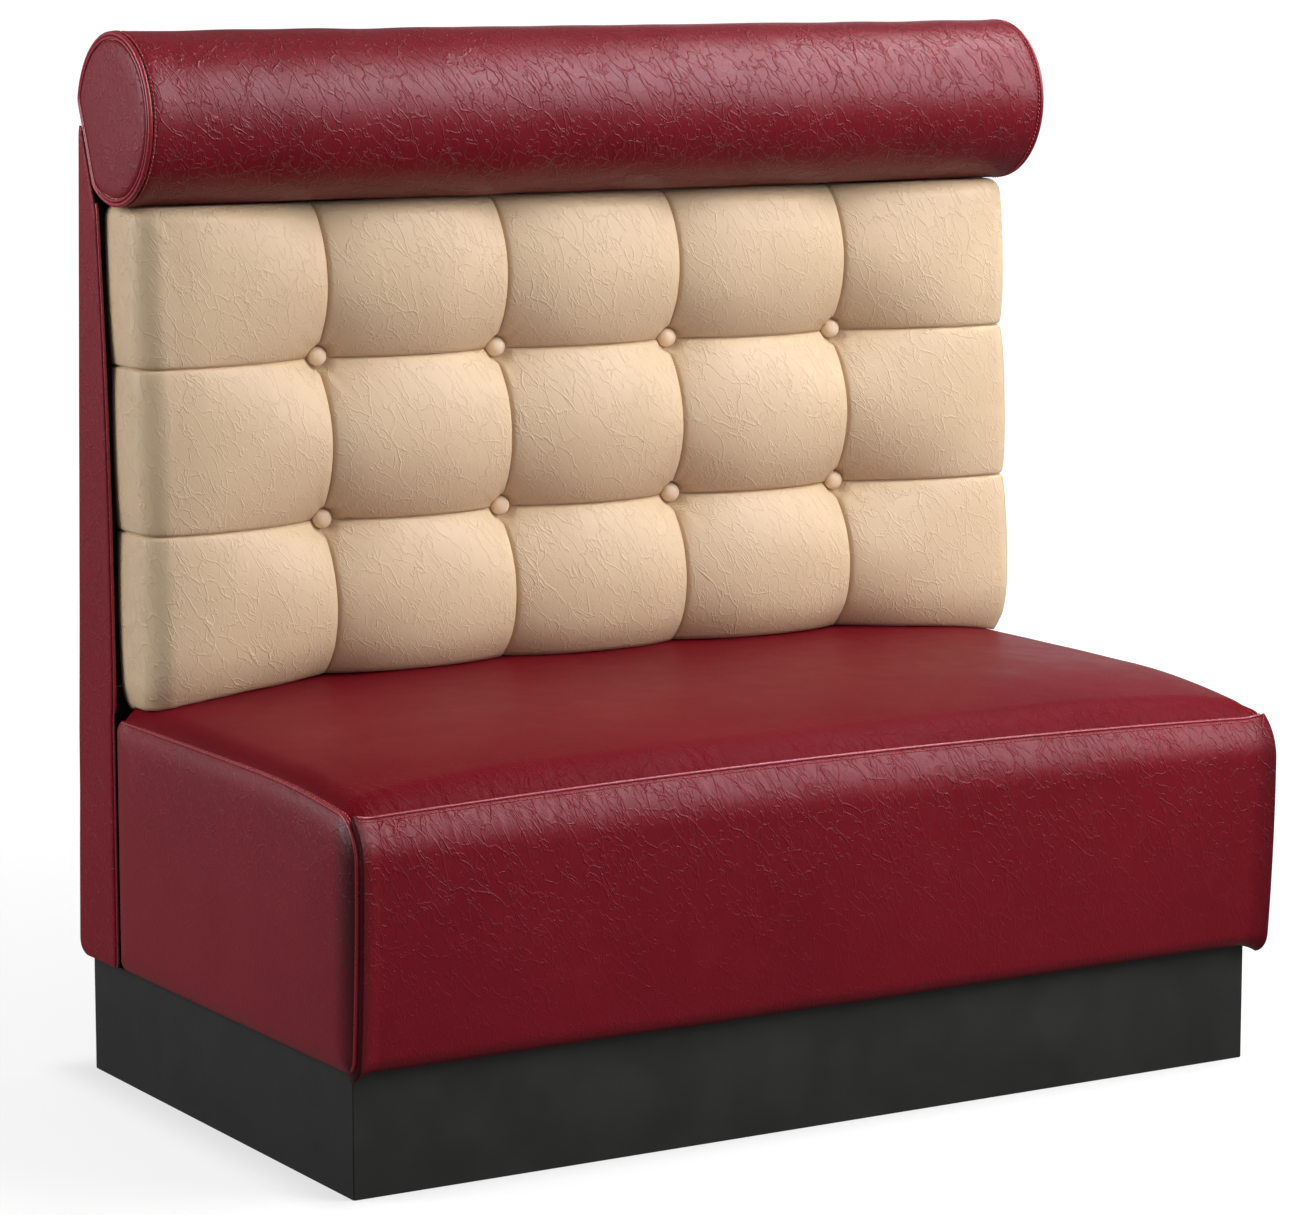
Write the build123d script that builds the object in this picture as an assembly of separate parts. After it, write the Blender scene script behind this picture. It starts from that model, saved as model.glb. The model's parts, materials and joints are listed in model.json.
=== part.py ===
from build123d import *
import math
import os

# Restaurant booth bench: an upholstered seat box and a tufted back with a head roll,
# standing on a recessed plinth. X runs along the bench, Y from front to back, Z up.
# The origin is on the floor, under the middle of the whole bench. Millimetres.

# Overall sizes
bench_width = 1200
plinth_height = 138
seat_depth = 589
back_depth = 106
seat_side_height = 291
seat_crown = 36

# Sheet stock, coverings and clearances
shank_sides = 8
cord_sides = 6
button_sides = 12
board_thickness = 18
thin_board_thickness = 9
rear_board_thickness = 4
head_board_thickness = 12
cover_thickness = 2
soft_clearance = 0.3
fastener_clearance = 0.5
overrun = 20

# Plinth
plinth_front_inset = 36
plinth_side_inset = 14
plinth_rear_inset = 10
plinth_rail_count = 2
plinth_block_side = 45
plinth_block_height = 90

# Seat box and its padding
front_pad_depth = 38
seat_foam_depth = 80
deck_thickness = 12
seat_rib_count = 2
seat_block_side = 45
seat_block_height = 60
side_pad_thickness = 3.7
side_cover_edge = 4
turn_under_width = 30
seat_rear_radius = 20
seat_seam_rise = 11
welt_radius = 2.5
welt_inset = 1.5
front_welt_proud = 0.5
welt_gap = 0.3

# Seat outline: shares of the seat's depth from its front, and of its side height
middle_depth_share = 0.411
middle_height_share = 0.9966
middle_rise_share = 0.97
shoulder_depth_share = 0.0713
shoulder_shift_share = 0.0407
shoulder_height_share = 0.9512
shoulder_rise_share = 0.825
seam_depth_share = 0.0355
seam_height_share = 0.921
nose_height_share = 0.773
toe_depth_share = 0.0153
toe_height_share = 0.0619
tuck_depth_share = 0.0424
# How the crown of the seat rises from its side seams to the middle, each as a share
# of the half width and a share of the crown
seat_rise_shares = [(1, 0), (0.975, 0.36), (0.92, 0.6), (0.8, 0.81), (0.5, 0.96), (0, 1)]
# Straight runs that stand for each arc of the outline
seat_arc_steps = 4

# Back frame
face_rake = 0.0459
rear_lean = 0.0415
rear_corner_radius = 20
upright_tip_width = 10
rail_depth = 40
rail_height = 40
bottom_rail_depth = 72
thin_rail_depth = 22
bolt_deck_gap = 37
middle_rail_height = 600
top_rail_drop = 30
rear_board_top_drop = 5
back_welt_gap = 0.2

# Back cushion and its tufting
cushion_side_gap = 10
cushion_bottom_drop = 33
cushion_seam_thickness = 81
cushion_edge_thickness = 88
cushion_edge_radius = 22
cushion_top_radius = 40
cushion_bottom_radius = 65
button_columns = 4
button_column_pitch_share = 0.3958
button_row_pitch = 185.5
lower_button_height = 641.5
button_pull = 46
row_edge_pull = 4
cell_bow = 16
row_seam_bow = 36
outer_cell_bow = 14
end_bow_share = 0.4
# Places across a cell, and how much of its bow it has there
cell_bow_shares = [(0.22, 0.69), (0.5, 1), (0.78, 0.69)]
row_station_share = 0.3
end_station_shares = [0, 0.25, 1]
cushion_board_margin = 12
cushion_board_lift = 14
button_radius = 11
button_rim = 3
button_dome = 6
button_crown_angle = 42
button_seat_depth = 37
tie_radius = 1.5
button_washer_side = 20
button_washer_thickness = 1.5
cushion_screw_columns = 4

# Head roll
roll_overhang = 4
roll_radius = 97
roll_centre_forward = 24
roll_centre_height = 1103
roll_flat_distance = 82
roll_flat_angle = 21.6
roll_corner_radius = 20
roll_board_width = 70
roll_board_end_gap = 24
roll_end_board_thickness = 9
roll_end_panel_inset = 9
roll_end_panel_thickness = 7
roll_end_panel_round = 3.5

# Fasteners
bolt_columns = 4
bolt_column_pitch = 300
bolt_radius = 4
bolt_head_radius = 7.5
bolt_head_height = 5.3
bolt_washer_radius = 12
bolt_washer_thickness = 2
nut_flange_radius = 11
nut_flange_thickness = 1.5
nut_barrel_radius = 5.5
nut_barrel_length = 10
bolt_tip_length = 4
roll_bolt_radius = 3
roll_bolt_head_radius = 5.5
roll_bolt_head_height = 4
screw_radius = 2.5
screw_head_radius = 5
screw_head_height = 2.5
plinth_screw_length = 80
cushion_screw_length = 16

# Places worked out from the sizes above
bench_depth = seat_depth + back_depth
front_y = -bench_depth / 2
rear_y = bench_depth / 2
foot_y = front_y + seat_depth
half_width = bench_width / 2
seat_top_z = plinth_height + seat_side_height
crown_z = seat_top_z + seat_crown
body_half = half_width - side_pad_thickness - soft_clearance - cover_thickness
base_z = plinth_height + cover_thickness
deck_top_z = seat_top_z - seat_foam_depth
carcass_front_y = front_y + front_pad_depth
carcass_rear_y = foot_y - cover_thickness
frame_half = half_width - cover_thickness
roll_centre_y = foot_y - roll_centre_forward
roll_half = half_width + roll_overhang
roll_tube_half = roll_half - 2 * welt_radius - welt_gap
roll_end_face = roll_half - roll_end_panel_thickness
roll_slope = math.tan(math.radians(roll_flat_angle))
roll_flat_cos = math.cos(math.radians(roll_flat_angle))
roll_flat_sin = math.sin(math.radians(roll_flat_angle))
roll_out = Vector(0, -roll_flat_cos, roll_flat_sin)
roll_up = Vector(0, roll_flat_sin, roll_flat_cos)
roll_flat_centre = Vector(0, roll_centre_y, roll_centre_height) - roll_out * roll_flat_distance
cushion_half_width = half_width - cushion_side_gap
button_column_pitch = cushion_half_width * button_column_pitch_share
cushion_bottom_z = crown_z - cushion_bottom_drop
cushion_top_z = roll_centre_height - roll_radius - soft_clearance
upper_button_height = lower_button_height + button_row_pitch
pocket_radius = button_radius + soft_clearance
LOW = (Align.MIN, Align.MIN, Align.MIN)


# Small builders

def block(low, high):
    """A box between two opposite corners."""
    size = Vector(high) - Vector(low)
    return Pos(*low) * Box(size.X, size.Y, size.Z, align=LOW)


def plate(points, low_x, high_x):
    """A flat-sided plate along X whose outline is a list of (y, z) points."""
    corners = [Vector(low_x, y, z) for y, z in points]
    face = make_face(Polyline(*corners, close=True))
    return extrude(face, amount=high_x - low_x, dir=(1, 0, 0))


def rounded_plate(points, corner, radius, low_x, high_x):
    """A plate with one of its outline's corners rounded."""
    corners = [Vector(low_x, y, z) for y, z in points]
    face = make_face(Polyline(*corners, close=True))
    vertex = face.vertices().sort_by_distance(Vector(low_x, *corner))[0]
    return extrude(fillet(vertex, radius), amount=high_x - low_x, dir=(1, 0, 0))


def rod(start, direction, radius, length, sides=shank_sides):
    """A bar from a point along a direction, with enough sides to pass for round."""
    along = Plane(origin=start, z_dir=direction)
    return extrude(along * RegularPolygon(radius, sides), amount=length)


def cord_along(path, radius):
    """A welt cord swept along a wire or edge."""
    start = Plane(origin=path @ 0, z_dir=path % 0)
    return sweep(start * RegularPolygon(radius, cord_sides), path=path)


def faceted(rows):
    """A closed body of flat faces over a stack of closed rows of corners, each cell split the short way."""
    faces = [make_face(Polyline(*rows[0], close=True)), make_face(Polyline(*rows[-1], close=True))]
    for lower, upper in zip(rows, rows[1:]):
        for a, b, c, d in zip(lower, lower[1:] + lower[:1], upper[1:] + upper[:1], upper):
            halves = [(a, b, c), (a, c, d)] if (c - a).length < (d - b).length else [(a, b, d), (b, c, d)]
            faces += [make_face(Polyline(*half, close=True)) for half in halves]
    return Solid(Shell(faces))


def mirrored(shape):
    """The same shape on the other side of the bench's middle."""
    return mirror(shape, about=Plane.YZ)


def spaced(count, pitch):
    """Places centred on zero, one pitch apart."""
    return [(i - (count - 1) / 2) * pitch for i in range(count)]


def between(count, half_span):
    """Places that divide a span into equal bays."""
    bay = 2 * half_span / (count + 1)
    return [bay * (i + 1) - half_span for i in range(count)]


def group(shapes):
    """Separate solids kept together as one sub-part."""
    return Compound(children=[solid for shape in shapes for solid in shape.solids()])


# The planes of the back, as y at a height z

def face_y(z):
    """Front face of the back frame: upright behind the seat, raked above it."""
    return foot_y + max(0, z - crown_z) * face_rake


def rear_face_y(z):
    """Outside back, leaning forward as it rises."""
    return rear_y - (z - plinth_height - rear_corner_radius) * rear_lean


def roll_face_y(z):
    """The sloping plane at the top of the frame that carries the head roll."""
    return roll_flat_centre.Y + (z - roll_flat_centre.Z) * roll_slope


def meeting(line, other):
    """Where two of these planes cross, found from their straight upper parts."""
    low, high = crown_z, roll_centre_height
    gap_low = line(low) - other(low)
    gap_high = line(high) - other(high)
    z = low + (high - low) * gap_low / (gap_low - gap_high)
    return line(z), z


def behind(line, distance):
    """The same plane moved towards the rear."""
    return lambda z: line(z) + distance


# Plinth

plinth_left_x = -half_width + plinth_side_inset
plinth_front_y = front_y + plinth_front_inset
plinth_rear_y = rear_y - plinth_rear_inset


def mitred_board(outer_start, outer_end, inner_end, inner_start, height):
    """An upright board whose plan has mitred ends."""
    outline = Polyline(outer_start, outer_end, inner_end, inner_start, close=True)
    return extrude(make_face(outline), amount=height)


def plinth_corners(inset):
    """Plan corners of the plinth ring, moved inwards: front left, front right, rear right, rear left."""
    left, right = plinth_left_x + inset, -plinth_left_x - inset
    front, rear = plinth_front_y + inset, plinth_rear_y - inset
    return [(left, front), (right, front), (right, rear), (left, rear)]


def plinth_side(index):
    outer, inner = plinth_corners(0), plinth_corners(board_thickness)
    after = (index + 1) % len(outer)
    return mitred_board(outer[index], outer[after], inner[after], inner[index], plinth_height)


def plinth_cross_rails():
    front, rear = plinth_front_y + board_thickness, plinth_rear_y - board_thickness
    inner_half = -plinth_left_x - board_thickness
    rails = []
    for x in between(plinth_rail_count, inner_half):
        low = (x - board_thickness / 2, front, 0)
        rails.append(block(low, (x + board_thickness / 2, rear, plinth_height)))
    return group(rails)


def corner_places(side, front, rear, inner_half):
    """Low corners of square blocks set in the four corners of a ring."""
    return [(x, y) for x in (-inner_half, inner_half - side) for y in (front, rear - side)]


def plinth_block_places():
    front, rear = plinth_front_y + board_thickness, plinth_rear_y - board_thickness
    return corner_places(plinth_block_side, front, rear, -plinth_left_x - board_thickness)


def plinth_screw_places():
    half = plinth_block_side / 2
    return [(x + half, y + half) for x, y in plinth_block_places()]


def plinth_screw_holes():
    radius = screw_radius + fastener_clearance
    return [rod((x, y, 0), (0, 0, 1), radius, crown_z) for x, y in plinth_screw_places()]


def plinth_corner_blocks():
    top = plinth_height
    blocks = []
    for (x, y), hole in zip(plinth_block_places(), plinth_screw_holes()):
        low = (x, y, top - plinth_block_height)
        high = (x + plinth_block_side, y + plinth_block_side, top)
        blocks.append(block(low, high) - hole)
    return group(blocks)


def plinth_screws():
    screws = []
    for x, y in plinth_screw_places():
        head_z = plinth_height - plinth_block_height - screw_head_height
        head = rod((x, y, head_z), (0, 0, 1), screw_head_radius, screw_head_height)
        shank_z = head_z + screw_head_height
        length = plinth_block_height + seat_block_height / 2
        screws.append(head + rod((x, y, shank_z), (0, 0, 1), screw_radius, length))
    return group(screws)


# Seat form

def tangent_directions(points, first):
    """Directions at each point of a chain of arcs that run smoothly into each other."""
    directions = [first]
    for here, there in zip(points, points[1:]):
        chord = (there - here).normalized()
        last = directions[-1]
        directions.append(chord * (2 * chord.dot(last)) - last)
    return directions


def seat_chain(x_share, rise_share, inset):
    """The seat's outline from its rear over the top to the front seam, and on under its front.

    Each half is a list of points and the direction at each. The front half starts at the nose.
    """
    rise = seat_crown * rise_share
    top = seat_top_z + rise
    shoulder_share = shoulder_depth_share + shoulder_shift_share * rise_share
    seam = Vector(0, front_y + seat_depth * seam_depth_share,
                  plinth_height + seat_side_height * seam_height_share + seat_seam_rise * (1 - x_share**2))
    over = [
        Vector(0, foot_y, top - seat_rear_radius),
        Vector(0, foot_y - seat_rear_radius, top),
        Vector(0, front_y + seat_depth * middle_depth_share,
               plinth_height + seat_side_height * middle_height_share + rise * middle_rise_share),
        Vector(0, front_y + seat_depth * shoulder_share,
               plinth_height + seat_side_height * shoulder_height_share + rise * shoulder_rise_share),
        seam,
    ]
    under = [
        Vector(0, front_y, plinth_height + seat_side_height * nose_height_share),
        Vector(0, front_y + seat_depth * toe_depth_share,
               plinth_height + seat_side_height * toe_height_share),
        Vector(0, front_y + seat_depth * tuck_depth_share, plinth_height),
    ]
    over_ways = tangent_directions(over, Vector(0, 0, 1))
    under_ways = tangent_directions(under, Vector(0, 0, -1))
    seam_way = tangent_directions([under[0], seam], Vector(0, 0, 1))[1]
    over_ways[-1] = (over_ways[-1] - seam_way).normalized()
    over = [point + Vector(0, -way.Z, way.Y) * inset for point, way in zip(over, over_ways)]
    under = [point + Vector(0, -way.Z, way.Y) * inset for point, way in zip(under, under_ways)]
    return over, over_ways, under, under_ways


def chain_edges(points, directions):
    """Arcs through the points, each starting in the direction at its point."""
    return [Edge.make_tangent_arc(points[i], directions[i], points[i + 1]) for i in range(len(points) - 1)]


def seat_curve(x_share, rise_share, inset):
    """Edges of the seat's outline from its rear top, through the seam, to under its front."""
    over, over_ways, under, under_ways = seat_chain(x_share, rise_share, inset)
    under[-1] = Vector(0, under[-1].Y, plinth_height + inset)
    middle = Edge.make_tangent_arc(under[0], Vector(0, 0, 1), over[-1]) @ 0.5
    nose = Edge.make_three_point_arc(over[-1], middle, under[0])
    return chain_edges(over, over_ways) + [nose] + chain_edges(under, under_ways)


def corners_along(edges):
    """Corners at even steps along a run of edges."""
    shares = [step / seat_arc_steps for step in range(seat_arc_steps)]
    return [edge @ share for edge in edges for share in shares] + [edges[-1] @ 1]


def at_place(points, x):
    """The points of an outline, moved to a place along X."""
    return [Vector(x, point.Y, point.Z) for point in points]


def seat_stations():
    """Shares of the half width from left to right, each with its share of the crown."""
    left = [(-share, rise) for share, rise in seat_rise_shares]
    return left + [(share, rise) for share, rise in reversed(seat_rise_shares[:-1])]


def seat_form(inset, half):
    """The crowned body of the seat between its side panels, moved inwards all round."""
    rows = []
    for share, rise in seat_stations():
        points = corners_along(seat_curve(abs(share), rise, inset))
        points.append(Vector(0, points[0].Y, plinth_height + inset))
        rows.append(at_place(points, share * half))
    return faceted(rows)


def short_of(seam, before):
    """The end of a cover's edge, short of the seam by the welt's room."""
    return seam + (before - seam).normalized() * (welt_radius + welt_gap)


def top_cover_run(x_share, rise_share, inset):
    """One run of the top cover: under the rear, up, and over to the front seam."""
    over, over_ways, under, under_ways = seat_chain(x_share, rise_share, inset)
    points = corners_along(chain_edges(over, over_ways))
    foot = Vector(0, over[0].Y, plinth_height + inset)
    return [Vector(0, foot_y - turn_under_width, foot.Z), foot] + points[:-1] + [short_of(points[-1], points[-2])]


def front_cover_run(x_share, rise_share, inset):
    """One run of the front cover: down from the front seam and under."""
    points = corners_along(seat_curve(x_share, rise_share, inset)[-3:])
    return [short_of(points[0], points[1])] + points[1:] + [Vector(0, dust_cover_front_y(), points[-1].Z)]


def dust_cover_front_y():
    return front_y + seat_depth * tuck_depth_share + turn_under_width


def seat_cover(run):
    """A covering panel across the seat, from the run of its outside and its inside."""
    rows = []
    for share, rise in seat_stations():
        outer = run(abs(share), rise, 0)
        inner = run(abs(share), rise, cover_thickness)
        rows.append(at_place(outer + inner[::-1], share * body_half))
    return faceted(rows)


def seat_top_cover():
    return seat_cover(top_cover_run) - group(back_bolt_holes())


def seat_front_cover():
    return seat_cover(front_cover_run)


def side_curve(inset):
    """Edges of the side panel's outline, running smoothly from its rear top to under its front."""
    over, over_ways, under, under_ways = seat_chain(1, 0, 0)
    points = over + under
    ways = tangent_directions(points, Vector(0, 0, 1))
    return chain_edges([point + Vector(0, -way.Z, way.Y) * inset for point, way in zip(points, ways)], ways)


def side_section(inset, x, base):
    """The side panel's outline closed along a level base, at a place along X."""
    edges = side_curve(inset)
    corners = [edges[-1] @ 1, Vector(0, (edges[0] @ 0).Y, base), edges[0] @ 0]
    if (edges[-1] @ 1).Z - base > soft_clearance:
        corners.insert(1, Vector(0, corners[0].Y, base))
    edges = edges + [Edge.make_line(here, there) for here, there in zip(corners, corners[1:])]
    return Wire(edges).moved(Location((x, 0, 0)))


def side_form(inset, base_inset, outer_x):
    """The right-hand side panel's body, from the seat's end face out to outer_x, with a rolled edge."""
    edge = side_cover_edge / 2
    steps = [(body_half, inset), (outer_x - edge, inset), (outer_x, inset + edge)]
    base = plinth_height + base_inset
    return Solid.make_loft([side_section(step, x, base) for x, step in steps], ruled=True)


def seat_top_foam():
    """The foam on the deck, up to the nose of the seat."""
    inset = cover_thickness + soft_clearance
    base = [Vector(0, front_y + inset, deck_top_z), Vector(0, foot_y - inset, deck_top_z)]
    rows = []
    for share, rise in seat_stations():
        points = corners_along(seat_curve(abs(share), rise, inset)[:-2])
        rows.append(at_place(points + base, share * body_half))
    return faceted(rows)


def seat_front_foam():
    """The foam down the front of the seat box."""
    inset = cover_thickness + soft_clearance
    points = corners_along(seat_curve(1, 0, inset)[-2:])
    base = [Vector(0, carcass_front_y, plinth_height + inset), Vector(0, carcass_front_y, points[0].Z)]
    rows = [at_place(points + base, x) for x in (-body_half, body_half)]
    return faceted(rows) - block((-half_width, front_y, deck_top_z), (half_width, carcass_front_y + overrun, crown_z))


def seat_side_padding():
    inset = welt_inset + welt_radius + cover_thickness + 2 * soft_clearance
    return side_form(inset, cover_thickness, body_half + side_pad_thickness)


def seat_side_cover():
    inset = welt_inset + welt_radius + soft_clearance
    skin = side_form(inset, 0, half_width)
    return skin - side_form(inset + cover_thickness, cover_thickness, half_width - cover_thickness)


def seat_side_piping():
    """The welt around a side panel, over its top and down its front."""
    x = body_half + welt_gap + welt_radius
    path = Wire(side_curve(welt_inset)[1:]).moved(Location((x, 0, 0)))
    return cord_along(path, welt_radius)


def seat_front_piping():
    """The welt along the front seam."""
    wires = []
    for share, rise in seat_stations():
        seam = seat_chain(abs(share), rise, -front_welt_proud)[0][-1] + Vector(share * body_half, 0, 0)
        section = Plane(origin=seam, x_dir=(0, 1, 0), z_dir=(1, 0, 0)) * RegularPolygon(welt_radius, cord_sides)
        wires.append(section.face().outer_wire())
    return Solid.make_loft(wires, ruled=True)


def seat_dust_cover():
    """Black cloth under the seat box, between the turned-under covers."""
    low = (-body_half, dust_cover_front_y(), plinth_height)
    return block(low, (body_half, foot_y - turn_under_width, base_z)) - group(plinth_screw_holes())


# Seat box

carcass_top_z = deck_top_z - deck_thickness


def seat_front_panel():
    low = (-body_half, carcass_front_y, base_z)
    return block(low, (body_half, carcass_front_y + board_thickness, carcass_top_z))


def seat_rear_panel():
    low = (-body_half, carcass_rear_y - board_thickness, base_z)
    return block(low, (body_half, carcass_rear_y, carcass_top_z)) - group(back_bolt_holes())


def seat_panel_between(low_x, high_x):
    low = (low_x, carcass_front_y + board_thickness, base_z)
    return block(low, (high_x, carcass_rear_y - board_thickness, carcass_top_z))


def seat_left_panel():
    return seat_panel_between(-body_half, -body_half + board_thickness)


def seat_ribs():
    half = board_thickness / 2
    return group([seat_panel_between(x - half, x + half) for x in between(seat_rib_count, body_half)])


def seat_deck_board():
    return block((-body_half, carcass_front_y, carcass_top_z), (body_half, carcass_rear_y, deck_top_z))


def seat_corner_blocks():
    """Blocks over the plinth's corner blocks, which take the plinth screws."""
    front = carcass_front_y + board_thickness
    inner_half = body_half - board_thickness
    blocks = []
    for x in (-inner_half, inner_half - seat_block_side):
        high = (x + seat_block_side, front + seat_block_side, base_z + seat_block_height)
        blocks.append(block((x, front, base_z), high))
    return group(blocks) - group(plinth_screw_holes())


# Back frame

def frame_outline(front_offset, rear_offset, roll_offset, bottom):
    """Side outline of the back frame with its planes moved inwards, as (y, z) points."""
    front, rear = behind(face_y, front_offset), behind(rear_face_y, -rear_offset)
    roll = behind(roll_face_y, roll_offset)
    return [(front(bottom), bottom), (front(crown_z), crown_z), meeting(front, roll),
            meeting(roll, rear), (rear(bottom), bottom)]


def back_side_cover():
    """The right-hand side strip of the back, from the floor of the seat up to a point behind the roll."""
    outline = frame_outline(0, 0, 0, plinth_height)
    return rounded_plate(outline, outline[-1], rear_corner_radius, frame_half, half_width)


def back_rear_cover():
    """The outside back, which turns under the frame."""
    outline = frame_outline(0, 0, 0, plinth_height)
    whole = rounded_plate(outline, outline[-1], rear_corner_radius, -frame_half, frame_half)
    rear = behind(rear_face_y, -cover_thickness)
    top = roll_centre_height + roll_radius
    hollow = [(foot_y - overrun, base_z), (rear(base_z), base_z), (rear(top), top), (foot_y - overrun, top)]
    inner_radius = rear_corner_radius - cover_thickness
    skin = whole - rounded_plate(hollow, hollow[1], inner_radius, -half_width, half_width)
    return skin - group(plinth_screw_holes())


def back_rear_board():
    front = behind(rear_face_y, -cover_thickness - rear_board_thickness)
    rear = behind(rear_face_y, -cover_thickness)
    low = base_z + rear_corner_radius
    high = meeting(roll_face_y, front)[1] - rear_board_top_drop
    return plate([(front(low), low), (rear(low), low), (rear(high), high), (front(high), high)],
                 -frame_half, frame_half)


def head_board_depth():
    """Thickness of the head board measured along Y."""
    return head_board_thickness / roll_flat_cos


def upright(low_x, high_x):
    """A shaped board of the back frame, with a rounded heel and a blunt tip behind the roll."""
    rear_offset = cover_thickness + rear_board_thickness
    outline = frame_outline(thin_board_thickness, rear_offset, head_board_depth(), base_z)
    front, tip = outline[2], outline[3]
    cut_z = tip[1] - upright_tip_width / (roll_slope + rear_lean)
    front_cut = (tip[0] - (tip[1] - cut_z) * roll_slope, cut_z)
    rear_cut = (tip[0] + (tip[1] - cut_z) * rear_lean, cut_z)
    points = outline[:3] + [front_cut, rear_cut, outline[4]]
    return rounded_plate(points, points[-1], rear_corner_radius, low_x, high_x)


def back_right_upright():
    return upright(frame_half - board_thickness, frame_half)


def back_centre_upright():
    return upright(-board_thickness / 2, board_thickness / 2)


def rail_pair(front, depth, low_z, high_z):
    """The same rail on both sides of the centre upright, set behind a raked or upright plane."""
    outline = [(front(low_z), low_z), (front(low_z) + depth, low_z),
               (front(high_z) + depth, high_z), (front(high_z), high_z)]
    rail = plate(outline, board_thickness / 2, frame_half - board_thickness)
    return [rail, mirrored(rail)]


def back_bottom_rails():
    front = behind(face_y, thin_board_thickness)
    rails = group(rail_pair(front, bottom_rail_depth, base_z, base_z + rail_height))
    return rails - group(plinth_screw_holes())


def back_bolt_rails():
    middle = bolt_height()
    front = behind(face_y, thin_board_thickness)
    rails = group(rail_pair(front, rail_depth, middle - rail_height / 2, middle + rail_height / 2))
    return rails - group(back_bolt_holes()) - group(nut_barrel_holes())


def back_middle_rails():
    low = plinth_height + middle_rail_height
    front = behind(face_y, thin_board_thickness)
    return group(rail_pair(front, thin_rail_depth, low, low + rail_height))


def back_top_rails():
    high = meeting(face_y, roll_face_y)[1] - top_rail_drop
    front = behind(face_y, thin_board_thickness)
    return group(rail_pair(front, thin_rail_depth, high - rail_height, high))


def back_lower_board():
    low = (-frame_half, foot_y, base_z)
    board = block(low, (frame_half, foot_y + thin_board_thickness, crown_z))
    return board - group(back_bolt_holes())


def back_face_board():
    """The raked board that carries the back cushion. It shows as a black margin beside it."""
    rear = behind(face_y, thin_board_thickness)
    top_front = meeting(face_y, roll_face_y)
    top_rear = meeting(rear, roll_face_y)
    board = plate([(foot_y, crown_z), top_front, top_rear, (rear(crown_z), crown_z)], -frame_half, frame_half)
    return board - group(cushion_screw_holes())


def back_head_board():
    """The sloping board that the head roll is bolted to."""
    rear = behind(rear_face_y, -cover_thickness - rear_board_thickness)
    inner = behind(roll_face_y, head_board_depth())
    low_front = meeting(behind(face_y, thin_board_thickness), roll_face_y)
    low_rear = meeting(behind(face_y, thin_board_thickness), inner)
    top_rear = meeting(inner, rear)
    top_front = (roll_face_y(top_rear[1]), top_rear[1])
    board = plate([low_front, low_rear, top_rear, top_front], -frame_half, frame_half)
    return board - group(roll_bolt_holes())


def back_edge_piping():
    """The welt down the front edge of the right-hand side strip, above the seat."""
    x = half_width - welt_radius
    low_z = crown_z
    high_z = cushion_top_z - welt_radius
    rake = math.atan(face_rake)
    out = (welt_radius + back_welt_gap) / math.cos(rake)
    start = Vector(x, face_y(low_z) - out, low_z)
    end = Vector(x, face_y(high_z) - out, high_z)
    return cord_along(Edge.make_line(start, end), welt_radius)


# Bolts between the seat box and the back

def bolt_height():
    return deck_top_z - deck_thickness - bolt_deck_gap


def back_bolt_holes():
    start = carcass_rear_y - board_thickness - overrun
    radius = bolt_radius + fastener_clearance
    length = overrun * 2 + board_thickness + cover_thickness + thin_board_thickness + rail_depth
    return [rod((x, start, bolt_height()), (0, 1, 0), radius, length)
            for x in spaced(bolt_columns, bolt_column_pitch)]


def rail_rear_y():
    return foot_y + thin_board_thickness + rail_depth


def nut_barrel_holes():
    radius = nut_barrel_radius + fastener_clearance / 2
    return [rod((x, rail_rear_y() + overrun, bolt_height()), (0, -1, 0), radius, nut_barrel_length + overrun)
            for x in spaced(bolt_columns, bolt_column_pitch)]


def hex_head(start, direction, radius, height):
    """A hexagon bolt head."""
    along = Plane(origin=start, z_dir=direction)
    return extrude(along * RegularPolygon(radius, 6), amount=height)


def back_bolts():
    bolts = []
    seat_y = carcass_rear_y - board_thickness - bolt_washer_thickness
    length = rail_rear_y() + nut_flange_thickness + bolt_tip_length - seat_y
    for x in spaced(bolt_columns, bolt_column_pitch):
        head = hex_head((x, seat_y, bolt_height()), (0, -1, 0), bolt_head_radius, bolt_head_height)
        bolts.append(head + rod((x, seat_y, bolt_height()), (0, 1, 0), bolt_radius, length))
    return group(bolts)


def back_bolt_washers():
    seat_y = carcass_rear_y - board_thickness
    washers = []
    for x in spaced(bolt_columns, bolt_column_pitch):
        start = (x, seat_y, bolt_height())
        disc = rod(start, (0, -1, 0), bolt_washer_radius, bolt_washer_thickness)
        washers.append(disc - rod(start, (0, -1, 0), bolt_radius + fastener_clearance / 2, bolt_washer_thickness))
    return group(washers)


def back_tee_nuts():
    nuts = []
    for x in spaced(bolt_columns, bolt_column_pitch):
        start = (x, rail_rear_y(), bolt_height())
        flange = rod(start, (0, 1, 0), nut_flange_radius, nut_flange_thickness)
        barrel = rod(start, (0, -1, 0), nut_barrel_radius, nut_barrel_length)
        bore_start = (x, rail_rear_y() - nut_barrel_length, bolt_height())
        bore = rod(bore_start, (0, 1, 0), bolt_radius + fastener_clearance / 2, nut_barrel_length + overrun)
        nuts.append(flange + barrel - bore)
    return group(nuts)


# Back cushion

def button_rows():
    return [lower_button_height, upper_button_height]


def dip(z):
    """How far the seams are pulled in at a height, from nothing midway to all of it at a button row."""
    half = button_row_pitch / 2
    near = min(min(abs(z - row) for row in button_rows()), half)
    radius = (half**2 + button_pull**2) / (2 * button_pull)
    height = math.sqrt(radius**2 - (half - near)**2) - (radius - button_pull)
    return button_pull - height


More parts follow.
